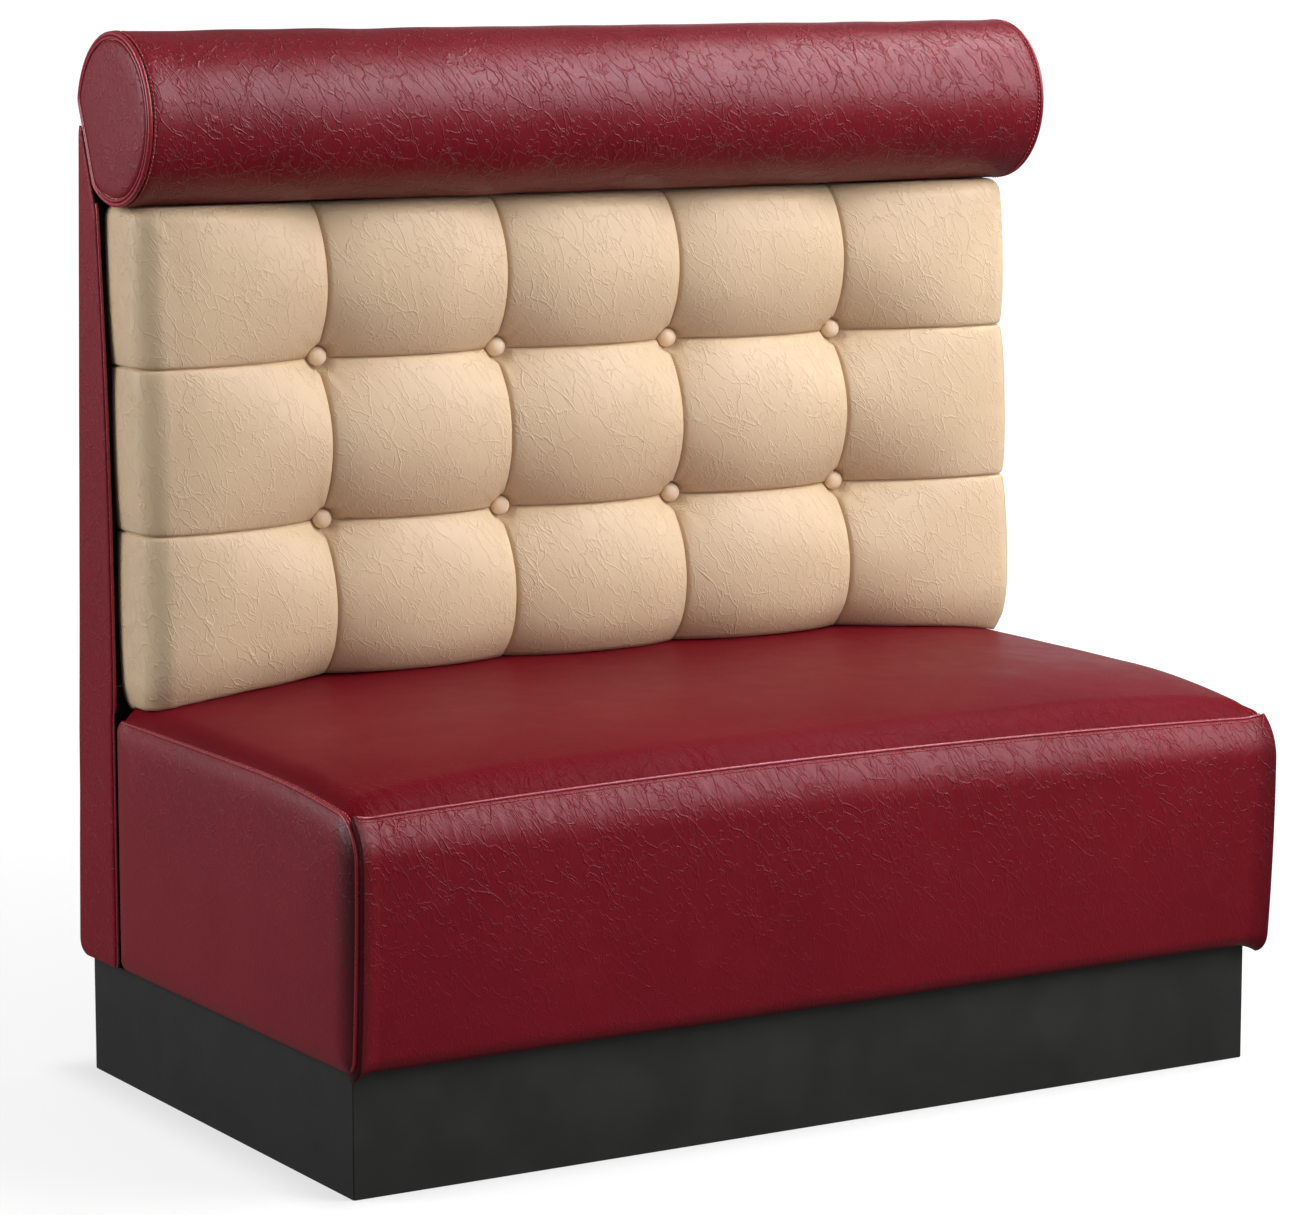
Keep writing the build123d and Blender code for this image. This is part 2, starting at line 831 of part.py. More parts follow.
def end_drop(z, inset):
    """How far the rounded top and bottom edges fall away from the front at a height."""
    drop = 0
    for end, way, size in ((cushion_top_z, 1, cushion_top_radius), (cushion_bottom_z, -1, cushion_bottom_radius)):
        radius = size - inset
        past = way * (z - end) + inset + radius
        if past > 0:
            drop = radius - math.sqrt(max(radius**2 - past**2, 0))
    return drop


def cushion_section(z, inset):
    """A level section of the cushion: five bowed cells between rounded side edges."""
    half = cushion_half_width - inset
    round_off = cushion_edge_radius - inset
    pull = dip(z)
    pull_share = pull / button_pull
    drop = end_drop(z, inset)
    flat_share = 1 - (1 - end_bow_share) * min(1, drop / cushion_top_radius)
    seam_y = face_y(z) - (cushion_seam_thickness - inset - pull - drop)
    edge_y = face_y(z) - (cushion_edge_thickness - inset - row_edge_pull * pull_share - drop)
    bow = (cell_bow + (row_seam_bow - cell_bow) * pull_share) * flat_share
    outer_bow = outer_cell_bow * flat_share
    rear = face_y(z) + overrun
    columns = spaced(button_columns, button_column_pitch)
    fronts = [(-half + round_off, edge_y)] + [(x, seam_y) for x in columns] + [(half - round_off, edge_y)]
    bows = [outer_bow] + [bow] * (button_columns - 1) + [outer_bow]
    corner = round_off * (1 - math.sqrt(0.5))
    points = [(-half, rear), (-half, edge_y + round_off), (-half + corner, edge_y + corner), fronts[0]]
    for start, end, out in zip(fronts, fronts[1:], bows):
        for share, bow_share in cell_bow_shares:
            along = [here + (there - here) * share for here, there in zip(start, end)]
            points.append((along[0], along[1] - out * bow_share))
        points.append(end)
    points += [(half - corner, edge_y + corner), (half, edge_y + round_off), (half, rear)]
    return [Vector(x, y, z) for x, y in points]


def cushion_levels(inset):
    """Heights of the sections, from the bottom edge to the top one."""
    bottom, top = cushion_bottom_z + inset, cushion_top_z - inset
    bottom_radius, top_radius = cushion_bottom_radius - inset, cushion_top_radius - inset
    low, high = button_rows()
    near = button_row_pitch * row_station_share
    lower = [bottom + bottom_radius * share for share in end_station_shares]
    upper = [top - top_radius * share for share in reversed(end_station_shares)]
    return lower + [low - near, low, low + near, high - near, high, high + near] + upper


def face_space(front_gap):
    """All the room in front of the back frame's face."""
    front = front_y - overrun
    top = cushion_top_z + overrun
    return plate([(front, base_z), (foot_y - front_gap, base_z), (foot_y - front_gap, crown_z),
                  (face_y(top) - front_gap, top), (front, top)], -half_width, half_width)


def cushion_form(inset):
    """The tufted body of the back cushion, resting on the seat and backed by the frame."""
    body = faceted([cushion_section(z, inset) for z in cushion_levels(inset)])
    seat = seat_form(-soft_clearance - inset, half_width)
    return (body & face_space(0)) - seat


def face_out():
    """Direction out of the raked face."""
    return Vector(0, -1, face_rake).normalized()


def button_places():
    """Points on the raked face behind each button."""
    return [Vector(x, face_y(z), z) for z in button_rows() for x in spaced(button_columns, button_column_pitch)]


def pockets(radius, floor):
    """Round wells for the buttons, open to the front."""
    return group([rod(place + face_out() * floor, face_out(), radius, cushion_edge_thickness, button_sides)
                  for place in button_places()])


def tie_holes(length):
    radius = tie_radius + soft_clearance
    return group([rod(place, face_out(), radius, length) for place in button_places()])


def cushion_cover():
    """The tufted covering: a thin skin with a well at each button, open at the back."""
    outer = cushion_form(0) - pockets(pocket_radius, button_seat_depth)
    inner_floor = button_seat_depth - cover_thickness
    inner = cushion_form(cover_thickness) - pockets(pocket_radius + cover_thickness, inner_floor)
    return outer - inner - tie_holes(cushion_edge_thickness)


def cushion_board_body():
    low = crown_z + cushion_board_lift
    high = cushion_top_z - cushion_board_margin
    front = behind(face_y, -thin_board_thickness)
    half = cushion_half_width - cushion_board_margin
    return plate([(front(low), low), (face_y(low), low), (face_y(high), high), (front(high), high)], -half, half)


def cushion_board():
    side = button_washer_side + fastener_clearance
    recesses = washer_plates(side, -overrun, overrun + button_washer_thickness)
    return cushion_board_body() - tie_holes(overrun) - recesses - group(cushion_screw_holes())


def cushion_foam():
    inset = cover_thickness + soft_clearance
    wells = pockets(pocket_radius + inset, 0)
    return cushion_form(inset) - cushion_board_body() - wells


def cushion_buttons():
    """Covered buttons: a rim and a sloping crown."""
    buttons = []
    for place in button_places():
        seat = Plane(origin=place + face_out() * (button_seat_depth + soft_clearance), z_dir=face_out())
        outline = RegularPolygon(button_radius, button_sides)
        rim = extrude(seat * outline, amount=button_rim)
        crown = extrude(seat.offset(button_rim) * outline, amount=button_dome, taper=button_crown_angle)
        buttons.append(rim + crown)
    return group(buttons)


def button_ties():
    length = button_seat_depth + soft_clearance - button_washer_thickness
    return group([rod(place + face_out() * button_washer_thickness, face_out(), tie_radius, length)
                  for place in button_places()])


def washer_plates(side, start, thickness):
    """Square plates behind the buttons, from a distance in front of the face."""
    plates = []
    for place in button_places():
        seat = Plane(origin=place + face_out() * start, x_dir=(1, 0, 0), z_dir=face_out())
        plates.append(extrude(seat * Rectangle(side, side), amount=thickness))
    return group(plates)


def button_washers():
    """The plates that the button ties are knotted to."""
    return washer_plates(button_washer_side, 0, button_washer_thickness)


def cushion_screw_places():
    rows = [crown_z + cushion_board_lift + rail_height, cushion_top_z - rail_height * 2]
    return [Vector(x, face_y(z), z) for z in rows for x in between(cushion_screw_columns, cushion_half_width)]


def cushion_screw_holes():
    radius = screw_radius + fastener_clearance / 2
    start = thin_board_thickness * 2
    length = start + cushion_screw_length - thin_board_thickness
    return [rod(place - face_out() * start, face_out(), radius, length) for place in cushion_screw_places()]


def cushion_screws():
    """Screws from inside the frame, through the face board, into the cushion's board."""
    screws = []
    depth = thin_board_thickness / math.sqrt(1 + face_rake**2)
    for place in cushion_screw_places():
        seat = place - face_out() * depth
        head = rod(seat, -face_out(), screw_head_radius, screw_head_height)
        screws.append(head + rod(seat, face_out(), screw_radius, cushion_screw_length - fastener_clearance))
    return group(screws)


# Head roll

def roll_outline(inset):
    """Section of the roll: round, with a flat where it sits on the frame."""
    centre = Vector(0, roll_centre_y, roll_centre_height)
    plane = Plane(origin=centre, x_dir=-roll_out, z_dir=(1, 0, 0))
    span = 4 * roll_radius
    kept = Pos(roll_flat_distance - inset - span / 2, 0) * Rectangle(span, span)
    section = Circle(roll_radius - inset) & kept
    section = fillet(section.vertices(), roll_corner_radius - inset)
    return plane * section


def roll_body(inset, low_x, high_x):
    section = Pos(low_x, 0, 0) * roll_outline(inset)
    return extrude(section, amount=high_x - low_x, dir=(1, 0, 0))


def roll_cover():
    skin = roll_body(0, -roll_tube_half, roll_tube_half)
    return skin - roll_body(cover_thickness, -roll_half, roll_half) - group(roll_bolt_holes())


def roll_board_body():
    """The board inside the roll, behind its flat."""
    centre = roll_flat_centre + roll_out * cover_thickness
    half = roll_tube_half - roll_board_end_gap
    plane = Plane(origin=centre, x_dir=(1, 0, 0), z_dir=roll_out)
    return extrude(plane * Rectangle(2 * half, roll_board_width), amount=head_board_thickness)


def roll_board():
    return roll_board_body() - group(roll_bolt_holes()) - group(roll_nut_holes())


def roll_foam():
    inset = cover_thickness + soft_clearance
    end = roll_end_face - roll_end_board_thickness
    foam = roll_body(inset, -end, end) - roll_board_body()
    return foam - group(roll_bolt_pockets())


def roll_end_board():
    return roll_body(cover_thickness, roll_end_face - roll_end_board_thickness, roll_end_face)


def roll_end_panel():
    """The padded panel in the end of the roll."""
    body = roll_body(roll_end_panel_inset, roll_end_face, roll_half)
    face = body.faces().sort_by(Axis.X)[-1]
    return chamfer(face.edges(), roll_end_panel_round)


def roll_end_piping():
    """The welt ring at the end of the roll."""
    low, high = roll_tube_half + welt_gap, roll_half
    return roll_body(0, low, high) - roll_body(2 * welt_radius, low - overrun, high + overrun)


def roll_bolt_starts(distance):
    """Points on the roll bolts' axes, at a distance in front of the roll's flat."""
    back = meeting(behind(face_y, thin_board_thickness), roll_face_y)[1]
    top = meeting(behind(roll_face_y, head_board_depth()),
                  behind(rear_face_y, -cover_thickness - rear_board_thickness))[1]
    z = back + (top - back) / 2
    base = Vector(0, roll_face_y(z), z) + roll_out * distance
    return [base + Vector(x, 0, 0) for x in spaced(bolt_columns, bolt_column_pitch)]


def roll_bolt_holes():
    radius = roll_bolt_radius + fastener_clearance
    return [rod(start, roll_out, radius, 3 * head_board_thickness + cover_thickness)
            for start in roll_bolt_starts(-2 * head_board_thickness)]


def roll_nut_top():
    return cover_thickness + head_board_thickness


def roll_nut_holes():
    return [rod(start, -roll_out, nut_barrel_radius + fastener_clearance / 2, nut_barrel_length)
            for start in roll_bolt_starts(roll_nut_top())]


def roll_bolt_pockets():
    depth = nut_flange_thickness + bolt_tip_length + soft_clearance
    return [rod(start, roll_out, nut_flange_radius + soft_clearance, depth)
            for start in roll_bolt_starts(roll_nut_top())]


def roll_bolts():
    bolts = []
    length = head_board_thickness + roll_nut_top() + nut_flange_thickness + bolt_tip_length
    for start in roll_bolt_starts(-head_board_thickness):
        head = hex_head(start, -roll_out, roll_bolt_head_radius, roll_bolt_head_height)
        bolts.append(head + rod(start, roll_out, roll_bolt_radius, length))
    return group(bolts)


def roll_tee_nuts():
    nuts = []
    for start in roll_bolt_starts(roll_nut_top()):
        flange = rod(start, roll_out, nut_flange_radius, nut_flange_thickness)
        barrel = rod(start, -roll_out, nut_barrel_radius, nut_barrel_length)
        bore = rod(start - roll_out * nut_barrel_length, roll_out, roll_bolt_radius + fastener_clearance / 2,
                   nut_barrel_length + overrun)
        nuts.append(flange + barrel - bore)
    return group(nuts)


def sub_parts():
    """Every sub-part of the bench by its name."""
    side_pad, side_cover, side_piping = seat_side_padding(), seat_side_cover(), seat_side_piping()
    left_panel, strip, upright_board = seat_left_panel(), back_side_cover(), back_right_upright()
    welt, end_board, end_panel = back_edge_piping(), roll_end_board(), roll_end_panel()
    end_piping = roll_end_piping()
    return {
        "plinth_front_board": plinth_side(0),
        "plinth_right_board": plinth_side(1),
        "plinth_rear_board": plinth_side(2),
        "plinth_left_board": plinth_side(3),
        "plinth_cross_rails": plinth_cross_rails(),
        "plinth_corner_blocks": plinth_corner_blocks(),
        "plinth_screws": plinth_screws(),
        "seat_front_panel": seat_front_panel(),
        "seat_rear_panel": seat_rear_panel(),
        "seat_left_panel": left_panel,
        "seat_right_panel": mirrored(left_panel),
        "seat_ribs": seat_ribs(),
        "seat_deck_board": seat_deck_board(),
        "seat_corner_blocks": seat_corner_blocks(),
        "seat_dust_cover": seat_dust_cover(),
        "seat_top_foam": seat_top_foam(),
        "seat_front_foam": seat_front_foam(),
        "seat_right_padding": side_pad,
        "seat_left_padding": mirrored(side_pad),
        "seat_top_cover": seat_top_cover(),
        "seat_front_cover": seat_front_cover(),
        "seat_right_cover": side_cover,
        "seat_left_cover": mirrored(side_cover),
        "seat_right_piping": side_piping,
        "seat_left_piping": mirrored(side_piping),
        "seat_front_piping": seat_front_piping(),
        "back_right_upright": upright_board,
        "back_left_upright": mirrored(upright_board),
        "back_centre_upright": back_centre_upright(),
        "back_bottom_rails": back_bottom_rails(),
        "back_bolt_rails": back_bolt_rails(),
        "back_middle_rails": back_middle_rails(),
        "back_top_rails": back_top_rails(),
        "back_lower_board": back_lower_board(),
        "back_face_board": back_face_board(),
        "back_head_board": back_head_board(),
        "back_rear_board": back_rear_board(),
        "back_right_cover": strip,
        "back_left_cover": mirrored(strip),
        "back_rear_cover": back_rear_cover(),
        "back_right_piping": welt,
        "back_left_piping": mirrored(welt),
        "back_bolts": back_bolts(),
        "back_bolt_washers": back_bolt_washers(),
        "back_tee_nuts": back_tee_nuts(),
        "cushion_board": cushion_board(),
        "cushion_foam": cushion_foam(),
        "cushion_cover": cushion_cover(),
        "cushion_buttons": cushion_buttons(),
        "button_ties": button_ties(),
        "button_washers": button_washers(),
        "cushion_screws": cushion_screws(),
        "roll_cover": roll_cover(),
        "roll_foam": roll_foam(),
        "roll_board": roll_board(),
        "roll_bolts": roll_bolts(),
        "roll_tee_nuts": roll_tee_nuts(),
        "roll_end_boards": group([end_board, mirrored(end_board)]),
        "roll_end_panels": group([end_panel, mirrored(end_panel)]),
        "roll_end_piping": group([end_piping, mirrored(end_piping)]),
    }


os.makedirs("parts", exist_ok=True)
for name, shape in sub_parts().items():
    export_step(shape, f"parts/{name}.step")
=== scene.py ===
import json
import math

import bmesh
import bpy
import numpy as np
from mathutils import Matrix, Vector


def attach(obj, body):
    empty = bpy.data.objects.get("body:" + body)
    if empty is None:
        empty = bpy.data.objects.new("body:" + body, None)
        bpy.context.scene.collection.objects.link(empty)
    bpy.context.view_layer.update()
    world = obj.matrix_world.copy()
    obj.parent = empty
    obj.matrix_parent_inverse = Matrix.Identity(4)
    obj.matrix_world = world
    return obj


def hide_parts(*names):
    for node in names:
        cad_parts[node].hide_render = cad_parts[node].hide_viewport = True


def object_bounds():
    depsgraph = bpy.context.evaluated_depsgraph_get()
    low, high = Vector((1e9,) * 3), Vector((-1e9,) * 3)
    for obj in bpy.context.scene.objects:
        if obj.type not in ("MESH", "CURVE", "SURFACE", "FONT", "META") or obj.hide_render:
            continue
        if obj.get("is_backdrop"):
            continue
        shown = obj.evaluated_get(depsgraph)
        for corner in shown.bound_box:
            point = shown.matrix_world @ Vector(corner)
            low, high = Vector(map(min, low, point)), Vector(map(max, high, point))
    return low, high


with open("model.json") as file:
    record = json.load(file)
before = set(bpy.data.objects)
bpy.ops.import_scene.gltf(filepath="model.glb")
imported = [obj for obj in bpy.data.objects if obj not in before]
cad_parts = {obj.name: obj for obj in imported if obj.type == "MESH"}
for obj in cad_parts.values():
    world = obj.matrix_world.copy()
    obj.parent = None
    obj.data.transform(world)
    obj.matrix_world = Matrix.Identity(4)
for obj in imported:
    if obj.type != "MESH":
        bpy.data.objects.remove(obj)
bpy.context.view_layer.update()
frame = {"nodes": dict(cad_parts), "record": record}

# Sizes in millimetres, in the frame of the CAD part
MM = 0.001
FRONT_Y = -347.5
FOOT_Y = 241.5
REAR_Y = 347.5
PLINTH = 138.0
SEAT_SIDE = 291.0
SEAT_TOP = 429.0
CROWN = 36.0
CROWN_Z = 465.0
SEAT_DEPTH = 589.0
BODY_HALF = 594.0
FACE_RAKE = 0.0459
REAR_LEAN = 0.0415
CUSHION_LOW = 432.0
CUSHION_TOP = 1005.7
TOP_TURN = 18.0
TOP_DROP = 9.0
LOW_TURN = 75.0
LOW_DROP = 34.0
CUSHION_HALF = 590.0
CORNER = 28.0
BUTTON_ROWS = (641.5, 827.0)
ROW_PITCH = 185.5
COLUMN_SHARE = 0.3958
COLUMNS = np.array([-1.5, -0.5, 0.5, 1.5]) * CUSHION_HALF * COLUMN_SHARE
PULL = 46.0
SEAM_LIFT = 81.0
EDGE_LIFT = 88.0
BUTTON_SEAT = 36.6
BUTTON_BASE = 36.9
BUTTON_TOP = 50.7
ROW_BOW = 20.0
ROLL_Y = 217.5
ROLL_Z = 1103.0
ROLL_RADIUS = 97.0
ROLL_FLAT = 82.0
ROLL_TURN = 20.0
ROLL_TILT = math.radians(21.6)

# Places across, measured from the middle
SEAT_END = 593.5
PANEL_INSIDE = 594.6
ROLL_END = 592.5
REAR_END = 597.9
STRIP_FACE = 598.3
STRIP_INSIDE = 598.05
SIDES = ((-1, "left"), (1, "right"))

LEATHER = "burgundy_leatherette"
PIPING = "burgundy_piping"

rng = np.random.default_rng(7)


# Noise and small helpers

def waves(x, y, scale, seed):
    """Smooth rolling noise between about -1 and 1, from a few crossed waves."""
    picks = np.random.default_rng(seed)
    total = np.zeros(np.broadcast(x, y).shape)
    for _ in range(7):
        angle = picks.uniform(0, math.pi)
        length = scale * picks.uniform(0.6, 1.7)
        way = (np.asarray(x) * math.cos(angle) + np.asarray(y) * math.sin(angle)) / length
        total = total + np.sin(2 * math.pi * way + picks.uniform(0, 2 * math.pi))
    return total / 4.5


def smooth(low, high, value):
    share = np.clip((np.asarray(value, dtype=float) - low) / (high - low), 0, 1)
    return share * share * (3 - 2 * share)


def eased(low, high, count, ease=0.8):
    """Steps from low to high, closer together at both ends."""
    steady = np.linspace(0, 1, count + 1)
    curved = (1 - np.cos(math.pi * steady)) / 2
    return low + (high - low) * (ease * curved + (1 - ease) * steady)


def quarter(share):
    """Fall of a quarter circle, from 0 to 1, at a share of its run."""
    return 1 - np.sqrt(np.maximum(0, 1 - share ** 2))


def circle(low, high, count):
    """Directions at steady turns, both ends included."""
    turn = np.linspace(low, high, count)
    return np.column_stack([np.cos(turn), np.sin(turn)])


def section(x, points):
    """Points given as (y, z), set at a place or places across the bench."""
    return np.column_stack([np.full(len(points), x), points])


def distances(points):
    """Distance of each point of a polyline from its start."""
    return np.concatenate([[0], np.cumsum(np.linalg.norm(np.diff(points, axis=0), axis=1))])


def face_y(z):
    """Depth of the raked face that the cushion rests on."""
    return FOOT_Y + FACE_RAKE * np.maximum(0, np.asarray(z, dtype=float) - CROWN_Z)


# Meshes

def new_piece(name, data):
    piece = bpy.data.objects.new(name, data)
    bpy.context.scene.collection.objects.link(piece)
    return piece


def add_mesh(name, vertices, faces, material, slot, smooth_shade=True):
    mesh = bpy.data.meshes.new(name)
    mesh.from_pydata((np.asarray(vertices, dtype=float) * MM).tolist(), [], faces)
    form = bmesh.new()
    form.from_mesh(mesh)
    bmesh.ops.recalc_face_normals(form, faces=form.faces)
    form.to_mesh(mesh)
    form.free()
    mesh.materials.append(material)
    if smooth_shade:
        mesh.polygons.foreach_set("use_smooth", [True] * len(mesh.polygons))
    mesh.update()
    piece = new_piece(name, mesh)
    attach(piece, "root")
    return piece


def ring_faces(rows, count):
    """Faces between closed rings that lie one after another in a list of vertices."""
    faces = []
    for row in range(rows - 1):
        low, high = row * count, (row + 1) * count
        for step in range(count):
            after = (step + 1) % count
            faces.append((low + step, low + after, high + after, high + step))
    return faces


def fanned(rings, centres):
    """Vertices and faces of a closed form over a stack of closed rings, with a fan at each end."""
    rings = np.asarray(rings, dtype=float)
    rows, count = rings.shape[:2]
    vertices = np.concatenate([rings.reshape(-1, 3), np.array(centres)])
    faces = ring_faces(rows, count)
    first, last, top = rows * count, rows * count + 1, (rows - 1) * count
    for step in range(count):
        after = (step + 1) % count
        faces.append((first, after, step))
        faces.append((last, top + step, top + after))
    return vertices, faces


def loft(name, rings, material, slot, centres=None):
    if centres is None:
        centres = (np.mean(rings[0], axis=0), np.mean(rings[-1], axis=0))
    return add_mesh(name, *fanned(rings, centres), material, slot)


def tube_data(path, radius, sides, closed):
    """Vertices and faces of a round cord along a path, of one radius or one for each point."""
    path = np.asarray(path, dtype=float)
    count = len(path)
    if closed:
        ways = np.roll(path, -1, axis=0) - np.roll(path, 1, axis=0)
    else:
        ways = np.gradient(path, axis=0)
    ways /= np.linalg.norm(ways, axis=1)[:, None]
    side = np.cross(ways[0], [0.3, 0.2, 0.9])
    rings = []
    radii = np.broadcast_to(radius, (count,))
    angles = np.arange(sides) * 2 * math.pi / sides
    for place, way, size in zip(path, ways, radii):
        side = side - way * side.dot(way)
        side /= np.linalg.norm(side)
        other = np.cross(way, side)
        rings.append(place + size * (np.cos(angles)[:, None] * side + np.sin(angles)[:, None] * other))
    if closed:
        vertices = np.concatenate(rings)
        faces = ring_faces(count, sides)
        last = (count - 1) * sides
        joined = min(range(sides), key=lambda turn: np.linalg.norm(rings[-1][turn] - rings[0][0]))
        for step in range(sides):
            after = (step + 1) % sides
            near, far = (step + joined) % sides, (after + joined) % sides
            faces.append((last + near, last + far, after, step))
        return vertices, faces
    return fanned(rings, [path[0] - ways[0] * radii[0] * 0.5, path[-1] + ways[-1] * radii[-1] * 0.5])


def joined_data(parts):
    """Vertices and faces of several forms as one."""
    vertices, faces, start = [], [], 0
    for points, sides in parts:
        vertices.append(points)
        faces += [tuple(index + start for index in face) for face in sides]
        start += len(points)
    return np.concatenate(vertices), faces


def tube(name, path, radius, material, slot):
    return add_mesh(name, *tube_data(path, radius, 10, False), material, slot)


def resampled(path, pitch):
    """Points along a path at a steady pitch, and the direction at each."""
    path = np.asarray(path, dtype=float)
    lengths = distances(path)
    places = np.arange(pitch / 2, lengths[-1], pitch)
    points = np.stack([np.interp(places, lengths, path[:, axis]) for axis in range(3)], axis=1)
    ahead = np.stack([np.interp(places + 0.5, lengths, path[:, axis]) for axis in range(3)], axis=1)
    ways = ahead - points
    ways /= np.maximum(np.linalg.norm(ways, axis=1), 1e-6)[:, None]
    return points, ways


STITCH_SHARES = np.array([-0.5, -0.36, -0.12, 0.12, 0.36, 0.5])
STITCH_LIFTS = np.array([-0.9, -0.1, 0.35, 0.35, -0.1, -0.9])
STITCH_SIZES = np.array([0.35, 0.8, 1.0, 1.0, 0.8, 0.35])


def stitches(name, path, outs, pitch, length, radius):
    """A row of short raised stitches along a path; outs are the outward directions on it."""
    path = np.asarray(path, dtype=float)
    parts = []
    for point, way in zip(*resampled(path, pitch)):
        out = outs[int(np.argmin(np.linalg.norm(path - point, axis=1)))]
        out = out / np.linalg.norm(out)
        along = STITCH_SHARES * length * rng.uniform(0.92, 1.06)
        line = point + along[:, None] * way + (STITCH_LIFTS * radius)[:, None] * out
        parts.append(tube_data(line, STITCH_SIZES * radius, 6, False))
    return add_mesh(name, *joined_data(parts), red_thread, PIPING)


# Materials

class Nodes:
    """A short way to build a material's nodes."""

    def __init__(self, name):
        self.material = bpy.data.materials.new(name)
        self.material.use_nodes = True
        self.tree = self.material.node_tree
        self.shader = self.tree.nodes["Principled BSDF"]
        self.place = self.add("ShaderNodeTexCoord").outputs["Object"]

    def add(self, kind, **values):
        node = self.tree.nodes.new(kind)
        for key, value in values.items():
            if key.startswith("in_"):
                node.inputs[key[3:].replace("_", " ")].default_value = value
            else:
                setattr(node, key, value)
        return node

    def link(self, source, target):
        self.tree.links.new(source, target)

    def feed(self, value, target):
        """Set a socket to a number or a colour, or link an output to it."""
        if isinstance(value, (int, float)):
            target.default_value = value
        elif isinstance(value, tuple):
            target.default_value = (*value, 1)
        else:
            self.link(value, target)

    def finish(self, color, roughness, normal=None, specular=None):
        """Join the shader's inputs up and give the material back."""
        self.feed(color, self.shader.inputs["Base Color"])
        self.feed(roughness, self.shader.inputs["Roughness"])
        if normal is not None:
            self.link(normal, self.shader.inputs["Normal"])
        if specular is not None:
            self.shader.inputs["Specular IOR Level"].default_value = specular
        return self.material

    def math(self, operation, first, second=None, clamp=False):
        node = self.add("ShaderNodeMath", operation=operation, use_clamp=clamp)
        self.feed(first, node.inputs[0])
        if second is not None:
            self.feed(second, node.inputs[1])
        return node.outputs[0]

    def ramp(self, source, low, high, out_low=0.0, out_high=1.0):
        node = self.add("ShaderNodeMapRange", interpolation_type="SMOOTHSTEP")
        self.link(source, node.inputs["Value"])
        for key, value in (("From Min", low), ("From Max", high), ("To Min", out_low), ("To Max", out_high)):
            node.inputs[key].default_value = value
        return node.outputs["Result"]

    def noise(self, scale, detail=2.0, rough=0.5, where=None, distortion=0.0, output="Fac"):
        node = self.add("ShaderNodeTexNoise", in_Scale=scale, in_Detail=detail, in_Roughness=rough,
                        in_Distortion=distortion)
        self.link(where or self.place, node.inputs["Vector"])
        return node.outputs[output]

    def bent(self, scale, amount, where=None, detail=2.0):
        """The place, pushed about by noise."""
        shift = self.add("ShaderNodeVectorMath", operation="MULTIPLY_ADD")
        self.link(self.noise(scale, detail, where=where, output="Color"), shift.inputs[0])
        shift.inputs[1].default_value = (amount, amount, amount)
        self.link(where or self.place, shift.inputs[2])
        return shift.outputs[0]

    def cells(self, scale, where, feature="DISTANCE_TO_EDGE"):
        node = self.add("ShaderNodeTexVoronoi", feature=feature, in_Scale=scale)
        self.link(where, node.inputs["Vector"])
        return node.outputs["Distance"]

    def axes(self):
        """The place's own X, Y and Z, as outputs by name."""
        parts = self.add("ShaderNodeSeparateXYZ")
        self.link(self.place, parts.inputs[0])
        return parts.outputs

    def mapped(self, **values):
        mapping = self.add("ShaderNodeMapping", **values)
        self.link(self.place, mapping.inputs["Vector"])
        return mapping.outputs[0]

    def mix(self, share, first, second):
        node = self.add("ShaderNodeMix", data_type="RGBA")
        for slot, value in ((0, share), (6, first), (7, second)):
            self.feed(value, node.inputs[slot])
        return node.outputs[2]

    def bump(self, height, distance, after=None):
        node = self.add("ShaderNodeBump", in_Distance=distance, in_Strength=1.0)
        self.link(height, node.inputs["Height"])
        if after is not None:
            self.link(after, node.inputs["Normal"])
        return node.outputs["Normal"]


CREASE_WAY = (0.0, 0.95, -0.6)
CROSS_WAY = (0.3, 2.1, 0.4)
PLEAT_WAY = (0.0, 1.25, -0.5)


def drawn_out(n, way, stretch, scale, bend, seed):
    """The place, drawn out along a slant and pushed about at two scales."""
    slant = n.mapped(vector_type="TEXTURE", in_Location=(seed, seed * 0.37, seed * 0.71), in_Rotation=way,
                     in_Scale=(stretch, 1.0, 1.0))
    where = n.bent(scale * 0.8, bend / scale, where=slant, detail=1.0)
    return n.bent(scale * 3.2, bend * 0.24 / scale, where=where, detail=2.0)


def cracks(n, way, stretch, scale, bend, width, seed):
    """A branching web of thin ridges; the width is in metres."""
    edge = n.cells(scale, drawn_out(n, way, stretch, scale, bend, seed))
    return n.ramp(edge, 0.0, width * scale, 1.0, 0.0)


def ripples(n, way, stretch, scale, bend, width, seed):
    """Short flowing wrinkles: the contour lines of drawn-out noise."""
    field = n.noise(scale, 2.0, 0.55, where=drawn_out(n, way, stretch, scale, bend, seed))
    return n.ramp(n.math("ABSOLUTE", n.math("SUBTRACT", field, 0.5)), 0.0, width, 1.0, 0.0)


def patches(n, scale, low, high, seed):
    """Blots of noise that fade in from low to high."""
    where = n.mapped(in_Location=(seed, seed, seed))
    return n.ramp(n.noise(scale, 3.0, 0.6, where=where), low, high)


